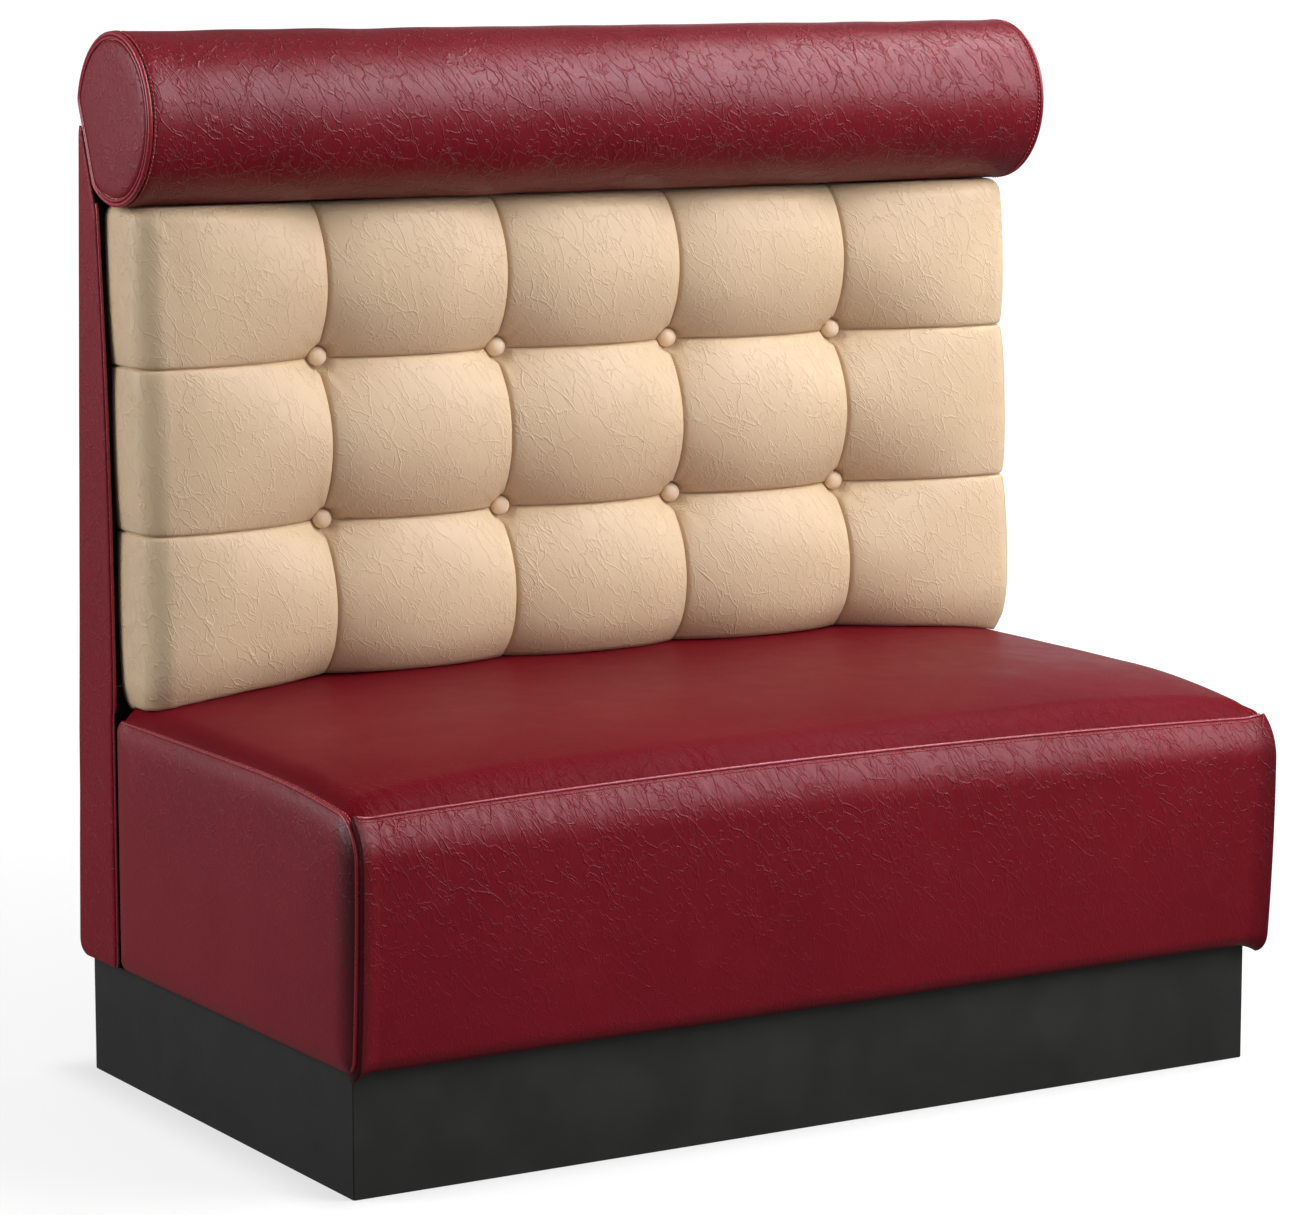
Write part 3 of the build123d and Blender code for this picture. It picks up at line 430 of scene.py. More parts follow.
def leather(name, tones, roughness, specular, crease, pebble, axis="Z", band=None, pleats=None, edge=None):
    """Grained leatherette: fine pebbles, a web of creases in patches, and slow changes of tone.

    The tones are base, dark and light. The creases' strength may change over a band of places along one
    axis, and pleats add close creases over a band of it. An edge is an axis and a band along it over which
    the colour is darkened: painted shade, standing in for the shade that falls beside a seam.
    """
    base, dark, light = tones
    n = Nodes(name)
    layers = ((0.8, cracks(n, CREASE_WAY, 2.2, 38.0, 0.9, 0.001, 1.3), patches(n, 26.0, 0.38, 0.55, 3.1)),
              (0.35, cracks(n, CROSS_WAY, 1.6, 42.0, 0.9, 0.0009, 5.9), patches(n, 34.0, 0.5, 0.64, 7.7)),
              (0.78, ripples(n, CREASE_WAY, 3.4, 72.0, 0.8, 0.026, 9.1), patches(n, 45.0, 0.32, 0.46, 2.2)))
    web, cross, fine = (n.math("MULTIPLY", n.math("MULTIPLY", lines, where), share)
                        for share, lines, where in layers)
    net = n.math("ADD", n.math("ADD", web, cross), fine)
    if band is not None:
        net = n.math("MULTIPLY", net, n.ramp(n.axes()[axis], *band))
    if pleats is not None:
        low, seam, amount = pleats
        close = cracks(n, PLEAT_WAY, 5.0, 62.0, 0.7, 0.001, 4.4)
        close = n.math("MULTIPLY", close, patches(n, 22.0, 0.4, 0.55, 8.3))
        net = n.math("ADD", net, n.math("MULTIPLY", close, n.ramp(n.axes()[axis], low, seam, 0.0, amount)))
    grain = n.cells(1100.0, n.bent(400.0, 0.001), feature="F1")
    soft = n.noise(330.0, 3.0, 0.6)
    tone = n.noise(4.0, 2.0, 0.5)
    blot = n.noise(30.0, 3.0, 0.6)
    color = n.mix(n.ramp(tone, 0.3, 0.7), dark, base)
    color = n.mix(n.ramp(blot, 0.5, 0.8, 0.0, 0.25), color, light)
    color = n.mix(n.math("MULTIPLY", net, 0.1, clamp=True), color, light)
    if edge is not None:
        shade_axis, clear, seam, depth = edge
        # Painted shade: the colour darkens towards the seam over the band
        shade = n.ramp(n.axes()[shade_axis], clear, seam, 0.0, depth)
        color = n.mix(shade, color, tuple(0.15 * value for value in dark))
    rough = n.ramp(blot, 0.3, 0.7, roughness - 0.02, roughness + 0.03)
    rough = n.math("ADD", rough, n.math("MULTIPLY", net, 0.03))
    normal = n.bump(soft, pebble * 1.5, n.bump(grain, pebble, n.bump(net, crease)))
    n.shader.inputs["Specular Tint"].default_value = (0.97, 0.9, 1.0, 1.0)
    return n.finish(color, rough, normal, specular)


def thread(name, base, light):
    n = Nodes(name)
    wave = n.add("ShaderNodeTexWave", wave_type="BANDS", in_Scale=480.0, in_Distortion=2.0)
    n.link(n.place, wave.inputs["Vector"])
    twist = wave.outputs["Fac"]
    return n.finish(n.mix(twist, base, light), 0.5, n.bump(twist, 0.0002))


def laminate(name, base, light, roughness, specular):
    """Matt black or charcoal board with a faint mottle and fine scuffs, and painted shade that makes it a
    little darker towards the floor.
    """
    n = Nodes(name)
    mottle = n.noise(14.0, 4.0, 0.6)
    fine = n.noise(900.0, 2.0, 0.6)
    streaks = n.noise(3.0, 3.0, 0.7, where=n.mapped(in_Scale=(2.0, 2.0, 60.0)))
    color = n.mix(n.ramp(mottle, 0.3, 0.75), base, light)
    # Painted shade: the board darkens towards the floor
    color = n.mix(n.ramp(n.axes()["Z"], 0.0, 0.13, 0.35, 0.0), color, (0.002, 0.002, 0.002))
    rough = n.math("ADD", n.ramp(mottle, 0.3, 0.7, roughness, roughness + 0.06),
                   n.math("MULTIPLY", n.ramp(streaks, 0.55, 0.8), 0.05))
    return n.finish(color, rough, n.bump(fine, 0.00006), specular)


def plywood(name):
    n = Nodes(name)
    where = n.mapped(in_Scale=(1.0, 1.0, 14.0))
    grain = n.noise(14.0, 6.0, 0.62, where=where, distortion=0.6)
    pores = n.noise(160.0, 3.0, 0.6, where=where)
    color = n.mix(n.ramp(grain, 0.3, 0.7), (0.5, 0.33, 0.18), (0.68, 0.5, 0.31))
    color = n.mix(n.ramp(pores, 0.55, 0.75, 0.0, 0.5), color, (0.36, 0.22, 0.12))
    return n.finish(color, 0.65, n.bump(pores, 0.0003))


def soft_fill(name, base, light, scale):
    """Foam or wadding: cells that are lighter towards their edges."""
    n = Nodes(name)
    cells = n.cells(scale, n.bent(scale * 0.3, 0.004), feature="F1")
    return n.finish(n.mix(n.ramp(cells, 0.1, 0.7), base, light), 0.9, n.bump(cells, 0.0008))


def zinc(name):
    n = Nodes(name)
    blot = n.noise(220.0, 3.0, 0.6)
    n.shader.inputs["Metallic"].default_value = 1.0
    color = n.mix(n.ramp(blot, 0.35, 0.7), (0.45, 0.45, 0.42), (0.66, 0.65, 0.58))
    return n.finish(color, n.ramp(blot, 0.3, 0.7, 0.28, 0.45))


def cloth(name):
    n = Nodes(name)
    weave = n.add("ShaderNodeTexChecker", in_Scale=1400.0, in_Color1=(0.03, 0.03, 0.032, 1),
                  in_Color2=(0.012, 0.012, 0.013, 1))
    n.link(n.place, weave.inputs["Vector"])
    return n.finish(weave.outputs["Color"], 0.9, n.bump(weave.outputs["Fac"], 0.0002))


# Colours as base, dark and light
RED = ((0.192, 0.006, 0.0145), (0.17, 0.005, 0.012), (0.235, 0.0125, 0.0235))
# A darker copy of the red for the seat's top: painted shade that tones down the top, which faces the lights
SHADED_TOP_RED = ((0.154, 0.0045, 0.011), (0.138, 0.0038, 0.0095), (0.19, 0.0095, 0.018))
# A lighter copy of the red for the side panels, strips, roll ends and outside back: painted light
LIT_SIDE_RED = ((0.212, 0.0066, 0.0165), (0.188, 0.0055, 0.0135), (0.25, 0.0135, 0.0255))
# A lighter copy of the red for the welts: painted highlight along them
BRIGHT_PIPING_RED = ((0.3, 0.012, 0.027), (0.26, 0.01, 0.02), (0.36, 0.026, 0.045))
CREAM = ((0.708, 0.529, 0.349), (0.673, 0.497, 0.324), (0.753, 0.582, 0.406))
# A lighter copy of the cream for the buttons: painted light that lifts them out of the shade they sit in
LIT_BUTTON_CREAM = ((0.88, 0.68, 0.48), (0.84, 0.64, 0.45), (0.9, 0.72, 0.53))
burgundy = leather("burgundy_leather", LIT_SIDE_RED, 0.36, 0.28, 0.00034, 0.0001)
seat_top_leather = leather("seat_top_leather", SHADED_TOP_RED, 0.4, 0.045, 0.00034, 0.0001, axis="Y",
                           band=(-0.325, -0.24, 1.0, 0.22), pleats=(-0.27, -0.322, 1.0))
# The front cover is darkened towards its left end, and the side panels towards their front edge: painted
# shade beside the seams
seat_front_leather = leather("seat_front_leather", RED, 0.34, 0.24, 0.0005, 0.00012,
                             band=(0.16, 0.37, 0.4, 1.0), pleats=(0.345, 0.4, 0.8),
                             edge=("X", -0.572, -0.592, 0.6))
side_leather = leather("seat_side_leather", LIT_SIDE_RED, 0.36, 0.3, 0.0003, 0.0001, band=(0.25, 0.38, 0.3, 0.8),
                       edge=("Y", -0.298, -0.341, 0.85))
strip_leather = leather("strip_leather", LIT_SIDE_RED, 0.38, 0.18, 0.00034, 0.0001)
roll_leather = leather("roll_leather", RED, 0.32, 0.36, 0.0007, 0.00014)
piping = leather("piping_leather", BRIGHT_PIPING_RED, 0.26, 0.55, 0.00008, 0.00006)
cream = leather("cream_leather", CREAM, 0.4, 0.3, 0.0005, 0.00012)
button_leather = leather("button_leather", LIT_BUTTON_CREAM, 0.36, 0.36, 0.0001, 0.00008)
red_thread = thread("red_thread", (0.36, 0.014, 0.03), (0.56, 0.07, 0.09))
charcoal = laminate("charcoal_laminate", (0.021, 0.021, 0.02), (0.029, 0.029, 0.027), 0.42, 0.5)
# A darker copy of the charcoal laminate for the plinth's end boards: painted shade on the sides
shaded_side_charcoal = laminate("side_charcoal_laminate", (0.012, 0.0125, 0.012), (0.017, 0.0175, 0.017), 0.45, 0.42)
black = laminate("black_laminate", (0.003, 0.003, 0.003), (0.005, 0.005, 0.005), 0.7, 0.06)
SLOT_MATERIALS = {
    LEATHER: burgundy,
    PIPING: piping,
    "cream_leatherette": cream,
    "foam": soft_fill("seat_foam", (0.74, 0.68, 0.46), (0.9, 0.86, 0.68), 700.0),
    "wadding": soft_fill("white_wadding", (0.8, 0.8, 0.78), (0.93, 0.93, 0.91), 240.0),
    "charcoal_board": charcoal,
    "plywood": plywood("birch_plywood"),
    "black_board": black,
    "zinc_steel": zinc("zinc_plate"),
    "black_cloth": cloth("black_cloth"),
}
for part in frame["record"]["subparts"]:
    node = frame["nodes"][part["node"]]
    finish = SLOT_MATERIALS[part["material_slot"]]
    if not node.material_slots:
        node.data.materials.append(finish)
    for holder in node.material_slots:
        holder.material = finish


# Seat

def arc(start, way, end, count):
    """Points and outward normals along the arc from start, in a direction, to end."""
    start, way, end = (np.asarray(value, dtype=float) for value in (start, way, end))
    way = way / np.linalg.norm(way)
    chord = end - start
    normal = np.array([-way[1], way[0]])
    across = 2 * chord.dot(normal)
    shares = np.linspace(0, 1, count + 1)
    if abs(across) < 1e-6:
        points = start + shares[:, None] * chord
        ways = np.repeat(way[None], count + 1, axis=0)
    else:
        radius = chord.dot(chord) / across
        centre = start + normal * radius
        turn = 2 * math.atan2(chord.dot(normal), chord.dot(way))
        angles = shares * turn
        cos, sin = np.cos(angles)[:, None], np.sin(angles)[:, None]
        points = centre + (-normal * radius) * cos + (way * radius) * sin
        ways = way * cos + normal * sin
    return points, np.stack([ways[:, 1], -ways[:, 0]], axis=1), ways[-1]


def crown_share(x):
    """Share of the seat's full swell at a place across it."""
    return np.maximum(0, 1 - np.minimum(1, np.abs(x) / BODY_HALF) ** 4) ** 0.45


def seat_points(x, rise_share):
    """The seat's control points at a place across it, as (y, z)."""
    rise = CROWN * rise_share
    top = SEAT_TOP + rise
    shoulder = 0.0713 + 0.0407 * rise_share
    seam = np.array([FRONT_Y + SEAT_DEPTH * 0.0355,
                     PLINTH + SEAT_SIDE * 0.921 + 11 * (1 - (x / BODY_HALF) ** 2)])
    over = [np.array([FOOT_Y, top - 20]), np.array([FOOT_Y - 20, top]),
            np.array([FRONT_Y + SEAT_DEPTH * 0.411, PLINTH + SEAT_SIDE * 0.9966 + rise * 0.97]),
            np.array([FRONT_Y + SEAT_DEPTH * shoulder, PLINTH + SEAT_SIDE * 0.9512 + rise * 0.825])]
    nose = np.array([FRONT_Y, PLINTH + SEAT_SIDE * 0.773])
    toe = np.array([FRONT_Y + SEAT_DEPTH * 0.0153, PLINTH + SEAT_SIDE * 0.0619])
    tuck = np.array([FRONT_Y + SEAT_DEPTH * 0.0424, PLINTH])
    return over, seam, nose, toe, tuck


def run(points, way, counts):
    """Arcs that run smoothly into each other, as points and outward normals."""
    places, outs = [], []
    for here, there, count in zip(points, points[1:], counts):
        some, out, way = arc(here, way, there, count)
        first = 0 if not places else 1
        places.append(some[first:])
        outs.append(out[first:])
    return np.concatenate(places), np.concatenate(outs)


def seat_top_run(x, rise_share):
    over, seam, *_ = seat_points(x, rise_share)
    return run(over + [seam], (0, 1), (7, 52, 40, 26))


def seat_front_run(x, rise_share):
    _, seam, nose, toe, tuck = seat_points(x, rise_share)
    up, up_out = run([nose, seam], (0, 1), (24,))
    down, down_out = run([nose, toe, tuck], (0, -1), (44, 10))
    return np.concatenate([up[::-1], down[1:]]), np.concatenate([up_out[::-1], -down_out[1:]])


END_ROLL_START = 566
END_ROLL_RUN = 28
END_ROLL = 9.0


def seat_end_inset(x):
    """How far the covers roll in towards the side seams."""
    return END_ROLL * np.clip((np.abs(x) - END_ROLL_START) / END_ROLL_RUN, 0, 1) ** 2.1


# Folds as place, lean, reach over the front, reach over the top and width
PUCKERS = []
place = -560.0
while place < 560:
    PUCKERS.append((place, rng.uniform(-0.9, 0.9), rng.uniform(25, 60), rng.uniform(15, 45),
                    rng.uniform(2.2, 4.0)))
    place += rng.uniform(14, 42)


def puckers(x, along, side):
    """Short folds that cross the front seam; along is the distance from it."""
    total = np.zeros(np.broadcast(x, along).shape)
    for middle, lean, front_reach, top_reach, width in PUCKERS:
        reach = front_reach if side > 0 else top_reach
        fade = np.exp(-(along / reach) ** 2) * smooth(0, 5, along)
        shift = (x - middle - lean * along * 0.35 * side) / width
        total = total - 0.55 * fade * (np.exp(-shift ** 2) - 0.6 * np.exp(-(shift - 1.8) ** 2))
    return total


SEAT_X = np.concatenate([eased(-SEAT_END, -570, 16, 0.5), np.linspace(-567, 567, 380),
                         eased(570, SEAT_END, 16, 0.5)])
SEAM_PINCH = 1.3
PINCH_REACH = 3.0
STITCH_DROP = 4.6
# The covers' hidden inside, as (y, z)
TOP_INSIDE = np.array([[-306, 372], [-306, 350], [-150, 350], [50, 350], [236, 350], [FOOT_Y - 0.2, 362],
                       [FOOT_Y - 0.2, 395]])
FRONT_INSIDE = np.array([[-310.5, PLINTH + 1.5], [-310.5, 240.0], [-310.5, 348.5], [-307.5, 360.0]])


def seat_surface(x, which):
    """One section of the seat's outside, with its roll-in, puckers and slow waves."""
    rise = crown_share(x)
    points, outs = seat_top_run(x, rise) if which == "top" else seat_front_run(x, rise)
    lengths = distances(points)
    if which == "top":
        along = lengths[-1] - lengths
        move = puckers(x, along, -1) + 0.5 * waves(x, lengths, 170, 3) * smooth(0, 40, along)
    else:
        along = lengths
        move = puckers(x, along, 1) + 0.8 * waves(x, lengths, 190, 4) * smooth(0, 40, along)
    move = move - SEAM_PINCH * np.exp(-along / PINCH_REACH)
    calm = 1 - 0.9 * smooth(560, 590, abs(x))
    move = move * calm - seat_end_inset(x)
    moved = points + outs * move[:, None]
    if which == "top":
        moved[:, 1] = np.where(lengths < 25, np.minimum(moved[:, 1], points[:, 1]), moved[:, 1])
    return moved, outs


def seat_rings(which):
    rings = []
    for x in SEAT_X:
        points, _ = seat_surface(x, which)
        if which == "top":
            closing = np.concatenate([[points[-1] + [6, -9]], TOP_INSIDE])
        else:
            foot = [points[-1][0] + 14, PLINTH + 0.1]
            closing = np.concatenate([[foot], FRONT_INSIDE, [points[0] + [7, -13]]])
        rings.append(section(x, np.concatenate([points, closing])))
    return np.array(rings)


for which, finish, centre in (("top", seat_top_leather, (-30, 400)),
                              ("front", seat_front_leather, (-330, 260))):
    cover = loft(f"seat_{which}_upholstery", seat_rings(which), finish, LEATHER,
                 [(-SEAT_END, *centre), (SEAT_END, *centre)])
    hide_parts(f"seat_{which}_cover", f"seat_{which}_foam")

# The welt along the front seam, and the stitches under it
seam_line, stitch_line, stitch_outs = [], [], []
for x in np.linspace(-589, 589, 300):
    points, outs = seat_surface(x, "front")
    seam_line.append([x, points[0][0] + outs[0][0] * 0.9, points[0][1] + outs[0][1] * 0.9 + 0.6])
    near = np.interp(STITCH_DROP, distances(points), np.arange(len(points)))
    low = int(near)
    share = near - low
    stitch_line.append([x, *(points[low] * (1 - share) + points[low + 1] * share)])
    stitch_outs.append([0, *outs[low]])
front_welt = tube("seat_front_welt", seam_line, 2.1, piping, PIPING)
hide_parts("seat_front_piping")
stitches("seat_front_stitches", stitch_line, np.array(stitch_outs), 5.2, 4.3, 1.0)


def side_run():
    """The side panel's outline, smooth from its rear top to under its front."""
    over, seam, nose, toe, tuck = seat_points(BODY_HALF, 0.0)
    return run(over + [seam, nose, toe, tuck], (0, 1), (8, 44, 40, 14, 18, 34, 8))


def edge_distance(points, loop):
    """Shortest distance of each point from a closed outline."""
    ways = np.roll(loop, -1, axis=0) - loop
    lengths = np.maximum((ways ** 2).sum(axis=1), 1e-9)
    gaps = points[:, None] - loop[None]
    shares = np.clip((gaps * ways).sum(axis=2) / lengths, 0, 1)
    return np.linalg.norm(gaps - shares[..., None] * ways, axis=2).min(axis=1)


# The side panels: gap to the back, rear corner, place across at a distance from the edge, and ring sizes
JOINT = 2.0
CORNER_TURN = 13.0
SIDE_DEPTHS = (0, 0.6, 2.0, 4.0, 6.9, 10.9, 16.4, 25.4, 60, 140)
SIDE_FACES = (594.9, 595.5, 596.7, 598.0, 599.4, 600.9, 602.2, 603.4, 604.6, 605.2)
SIDE_SHRINKS = (1, 0.998, 0.995, 0.991, 0.986, 0.979, 0.97, 0.959, 0.945, 0.928, 0.906, 0.88, 0.845, 0.8,
                0.74, 0.66, 0.56, 0.45, 0.33, 0.2, 0.08)
SIDE_CENTRE = np.array([-40.0, 285.0])


def side_rings(sign):
    """A padded side panel: flat inside, crowned outside, rolled in at its edge."""
    points, outs = side_run()
    points[:, 0] = np.minimum(points[:, 0], FOOT_Y - JOINT)
    base_y = np.linspace(points[-1][0] + 8, FOOT_Y - JOINT - CORNER_TURN - 1, 60)
    corner_outs = circle(-math.pi / 2, 0, 12)
    corner = np.array([FOOT_Y - JOINT - CORNER_TURN, PLINTH + CORNER_TURN]) + CORNER_TURN * corner_outs
    rear_z = np.linspace(PLINTH + CORNER_TURN + 1, 400, 34)
    loop = np.concatenate([points, np.column_stack([base_y, np.full(60, PLINTH)]), corner,
                           np.column_stack([np.full(34, FOOT_Y - JOINT), rear_z])])
    loop_outs = np.concatenate([outs, np.tile([0.0, -1.0], (60, 1)), corner_outs,
                                np.tile([1.0, 0.0], (34, 1))])
    front_share = (loop[:, 0] < 210) * smooth(PLINTH + 4, PLINTH + 50, loop[:, 1])
    loop = loop - (0.6 + 2.8 * front_share[:, None]) * loop_outs
    rings = [section(sign * x, SIDE_CENTRE + (loop - SIDE_CENTRE) * shrink)
             for x, shrink in ((PANEL_INSIDE, 0.98), (PANEL_INSIDE + 0.2, 0.997))]
    for shrink in SIDE_SHRINKS:
        inner = SIDE_CENTRE + (loop - SIDE_CENTRE) * shrink
        deep = edge_distance(inner, loop)
        face = np.interp(deep, SIDE_DEPTHS, SIDE_FACES)
        face = face + 0.6 * waves(inner[:, 0], inner[:, 1], 170, 11) * smooth(10, 70, deep)
        rings.append(section(sign * face, inner))
    return rings


for sign, side in SIDES:
    panel = loft(f"seat_{side}_upholstery", side_rings(sign), side_leather, LEATHER,
                 [(sign * PANEL_INSIDE, *SIDE_CENTRE), (sign * 605.1, *SIDE_CENTRE)])
    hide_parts(f"seat_{side}_cover", f"seat_{side}_padding")
    points, outs = side_run()
    points, outs = points[6:-3], outs[6:-3]
    welt_parts = [tube_data(section(sign * x, points - outs * inset), radius, 10, False)
                  for x, inset, radius in ((595.3, 3.4, 2.4), (591.3, 4.2, 1.9))]
    welt = add_mesh(f"seat_{side}_welt", *joined_data(welt_parts), piping, PIPING)
    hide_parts(f"seat_{side}_piping")
    stitches(f"seat_{side}_stitches", section(sign * 590.9, points - outs * 2.7),
             section(-sign * 0.3, outs), 5.2, 4.4, 1.0)


# Back cushion

def seat_line(rise_share):
    """The seat's top at a share of its swell, as points ordered from front to rear."""
    over, seam, *_ = seat_points(0.0, rise_share)
    line, _ = run(over + [seam], (0, 1), (24, 60, 40, 20))
    return line[np.argsort(line[:, 0])]


LOW_LINE, HIGH_LINE = seat_line(0.0), seat_line(1.0)


def seat_height(x, y):
    flat = np.interp(y, LOW_LINE[:, 0], LOW_LINE[:, 1])
    full = np.interp(y, HIGH_LINE[:, 0], HIGH_LINE[:, 1])
    return flat + (full - flat) * crown_share(x)


def dip(z):
    """How far the seams are pulled in at a height: by the rows of buttons, and at the top and the bottom."""
    half = ROW_PITCH / 2
    near = np.minimum(np.abs(z - BUTTON_ROWS[0]), np.abs(z - BUTTON_ROWS[1]))
    near = np.minimum(near, np.maximum(0, BUTTON_ROWS[1] + ROW_PITCH - z))
    near = np.minimum(np.minimum(near, np.maximum(0, z - BUTTON_ROWS[0] + ROW_PITCH)), half)
    radius = (half ** 2 + PULL ** 2) / (2 * PULL)
    height = np.sqrt(radius ** 2 - (half - near) ** 2) - (radius - PULL)
    return PULL - height


def row_groove(z):
    """Depth of the sewn line along each row of buttons."""
    total = 0
    for row in BUTTON_ROWS:
        away = np.abs(z - row)
        total = total + 1.6 * np.exp(-away / 3.5) + 3.6 * np.exp(-(away / 1.1) ** 1.5)
    return total


def around_button(body, x, z):
    """The front with the gathers and the flat seat of each button."""
    for row in BUTTON_ROWS:
        for column in COLUMNS:
            dx, dz = x - column, z - row
            away = np.sqrt(dx ** 2 + dz ** 2)
            angle = np.arctan2(dz, dx)
            fade = np.exp(-((away - 18) / 22) ** 2) * smooth(12, 17, away)
            body = body + 0.6 * fade * np.cos(9 * angle + column + row)
            body = body + 0.4 * fade * np.cos(14 * angle + 2.3 * column)
            sunk = BUTTON_SEAT + (body - BUTTON_SEAT) * smooth(12.2, 17.5, away)
            body = np.where(away < 17.5, sunk, body)
    return body


def cushion_thickness(x, z):
    """Distance of the tufted front from the raked face, at places across and up."""
    pull = dip(z)
    pull_share = pull / PULL
    seam = SEAM_LIFT - pull
    edge = EDGE_LIFT - 4 * pull_share
    past_top = np.clip((z - (CUSHION_TOP - TOP_TURN)) / TOP_TURN, 0, 1)
    past_low = np.clip((CUSHION_LOW + LOW_TURN - z) / LOW_TURN, 0, 1)
    drop = TOP_DROP * quarter(past_top) + LOW_DROP * quarter(past_low)
    flat = 1 - 0.6 * np.maximum(past_top, past_low * 0.7) ** 2
    bounds = np.concatenate([[-CUSHION_HALF], COLUMNS, [CUSHION_HALF]])
    cell = np.clip(np.searchsorted(bounds, x) - 1, 0, 4)
    share = np.clip((x - bounds[cell]) / (bounds[cell + 1] - bounds[cell]), 0, 1)
    start = np.where(cell == 0, edge, seam)
    end = np.where(cell == 4, edge, seam)
    outer = (cell == 0) | (cell == 4)
    bow = np.where(outer, 14.0, 16 + ROW_BOW * pull_share)
    body = start + (end - start) * share + bow * flat * (1 - np.abs(2 * share - 1) ** 2.3)
    # The curve towards a pulled seam is rounder on the outer cells
    reach = np.where(cell == 0, 1 - share, share)
    body = body + np.where(outer, (SEAM_LIFT - seam) * 0.25 * np.sin(math.pi * reach), 0)
    for column in COLUMNS:
        away = np.abs(x - column)
        body = body - 2.2 * np.exp(-away / 4.0) - 5.0 * np.exp(-(away / 1.3) ** 1.5)
    body = body - row_groove(z) - drop
    past_side = np.clip((np.abs(x) - (CUSHION_HALF - CORNER)) / CORNER, 0, 1)
    body = body - CORNER * quarter(past_side)
    # A shallow valley beside each end, and a fold that runs into the top corner
    body = body - 0.6 * np.exp(-((np.abs(x) - 548) / 16) ** 2) * smooth(640, 960, z)
    fold = np.abs(x) - 566 + (CUSHION_TOP - z) * 0.4
    body = body - 1.6 * np.exp(-(fold / 5) ** 2) * smooth(970, 1000, z)
    return around_button(body, x, z) + 0.7 * waves(x, z, 120, 21)


CELL_ENDS = np.concatenate([[CORNER - CUSHION_HALF], COLUMNS, [CUSHION_HALF - CORNER]])
CELL_X = [eased(a, b, 46, 0.82) for a, b in zip(CELL_ENDS, CELL_ENDS[1:])]
CORNER_X = CUSHION_HALF - CORNER + CORNER * np.sin(np.linspace(0, math.pi / 2, 14))[1:]
SEAM_STEPS = np.array([-4.0, -2.6, -1.8, -1.2, -0.6, 0, 0.6, 1.2, 1.8, 2.6, 4.0])


def with_seams(values, seams):
    """Stations, with closer ones across each seam."""
    kept = [value for value in values if np.abs(seams - value).min() > 4.5]
    close = [seam + step for seam in seams for step in SEAM_STEPS]
    return np.sort(np.concatenate([kept, close]))


CUSHION_X = np.concatenate([-CORNER_X, CELL_X[0]] + [part[1:] for part in CELL_X[1:]] + [CORNER_X])
CUSHION_X = with_seams(CUSHION_X, COLUMNS)
CUSHION_Z = with_seams(np.concatenate([
    CUSHION_LOW + LOW_TURN * (1 - np.cos(np.linspace(0, math.pi / 2, 20))),
    eased(CUSHION_LOW + LOW_TURN, BUTTON_ROWS[0], 28, 0.7)[1:],
    eased(BUTTON_ROWS[0], BUTTON_ROWS[1], 50, 0.82)[1:],
    eased(BUTTON_ROWS[1], CUSHION_TOP - TOP_TURN, 38, 0.7)[1:],
    CUSHION_TOP - TOP_TURN + TOP_TURN * np.sin(np.linspace(0, math.pi / 2, 14))[1:],
]), np.array(BUTTON_ROWS))


def cushion_rings():
    rings = []
    for z in CUSHION_Z:
        front = cushion_thickness(CUSHION_X, z)
        side = front[-1] * np.array([0.75, 0.5, 0.25])
        other = front[0] * np.array([0.25, 0.5, 0.75])
        rear_x = np.linspace(CUSHION_HALF, -CUSHION_HALF, 16)
        across = np.concatenate([CUSHION_X, np.full(3, CUSHION_HALF), rear_x, np.full(3, -CUSHION_HALF)])
        out = np.maximum(np.concatenate([front, side, np.zeros(16), other]), 0.15)
        past_low = np.clip((CUSHION_LOW + 40 - z) / 40, 0, 1)
        past_top = np.clip((z - CUSHION_TOP + 14) / 14, 0, 1)
        narrow = row_groove(z) + 2.6 * dip(z) / PULL + 20 * quarter(past_low) + 11 * quarter(past_top)
        across = across - np.sign(across) * narrow * smooth(535, CUSHION_HALF, np.abs(across))
        y = float(face_y(z)) - out
        rings.append(np.column_stack([across, y, np.maximum(z, seat_height(across, y) + 0.6)]))
    return rings


rings = cushion_rings()
cushion = loft("cushion_upholstery", rings, cream, "cream_leatherette",
               [(0, float(face_y(CUSHION_LOW)) - 8, float(rings[0][:, 2].min())),
                (0, float(face_y(CUSHION_TOP)) - 20, CUSHION_TOP)])
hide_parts("cushion_cover", "cushion_foam")

# A button's dome as (radius, height over the raked face)
BUTTON_DOME = ((4, BUTTON_BASE), (10.2, 37.2), (11.0, 39.0), (11.3, 42.0), (11.0, 44.2), (10.2, 46.2),
               (8.8, 47.8), (7.0, 49.1), (4.8, 50.0), (2.4, 50.5))


def button_data(x, z):
    """A domed, covered button with a gathered rim, facing out of the raked face."""
    out = np.array([0, -1, FACE_RAKE])
    out /= np.linalg.norm(out)
    up = np.cross([1, 0, 0], out)
    base = np.array([x, float(face_y(z)), z])
    angles = np.linspace(0, 2 * math.pi, 41)[:-1]
    rings = []
    for radius, height in BUTTON_DOME:
        gather = 1 + 0.014 * np.cos(11 * angles + x) * smooth(3, 10, radius)
        wide = (radius * gather * np.cos(angles))[:, None] * np.array([1.0, 0, 0])
        rise = (radius * gather * np.sin(angles))[:, None] * up * -1
        rings.append(base + wide + rise + out * height)
    return fanned(rings, [base + out * BUTTON_BASE, base + out * BUTTON_TOP])


button_parts = [button_data(x, z) for z in BUTTON_ROWS for x in COLUMNS]
buttons = add_mesh("cushion_covered_buttons", *joined_data(button_parts), button_leather, "cream_leatherette")
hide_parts("cushion_buttons")


# Head roll

ROLL_WAYS = np.array([[math.cos(ROLL_TILT), -math.sin(ROLL_TILT)],
                      [math.sin(ROLL_TILT), math.cos(ROLL_TILT)]])


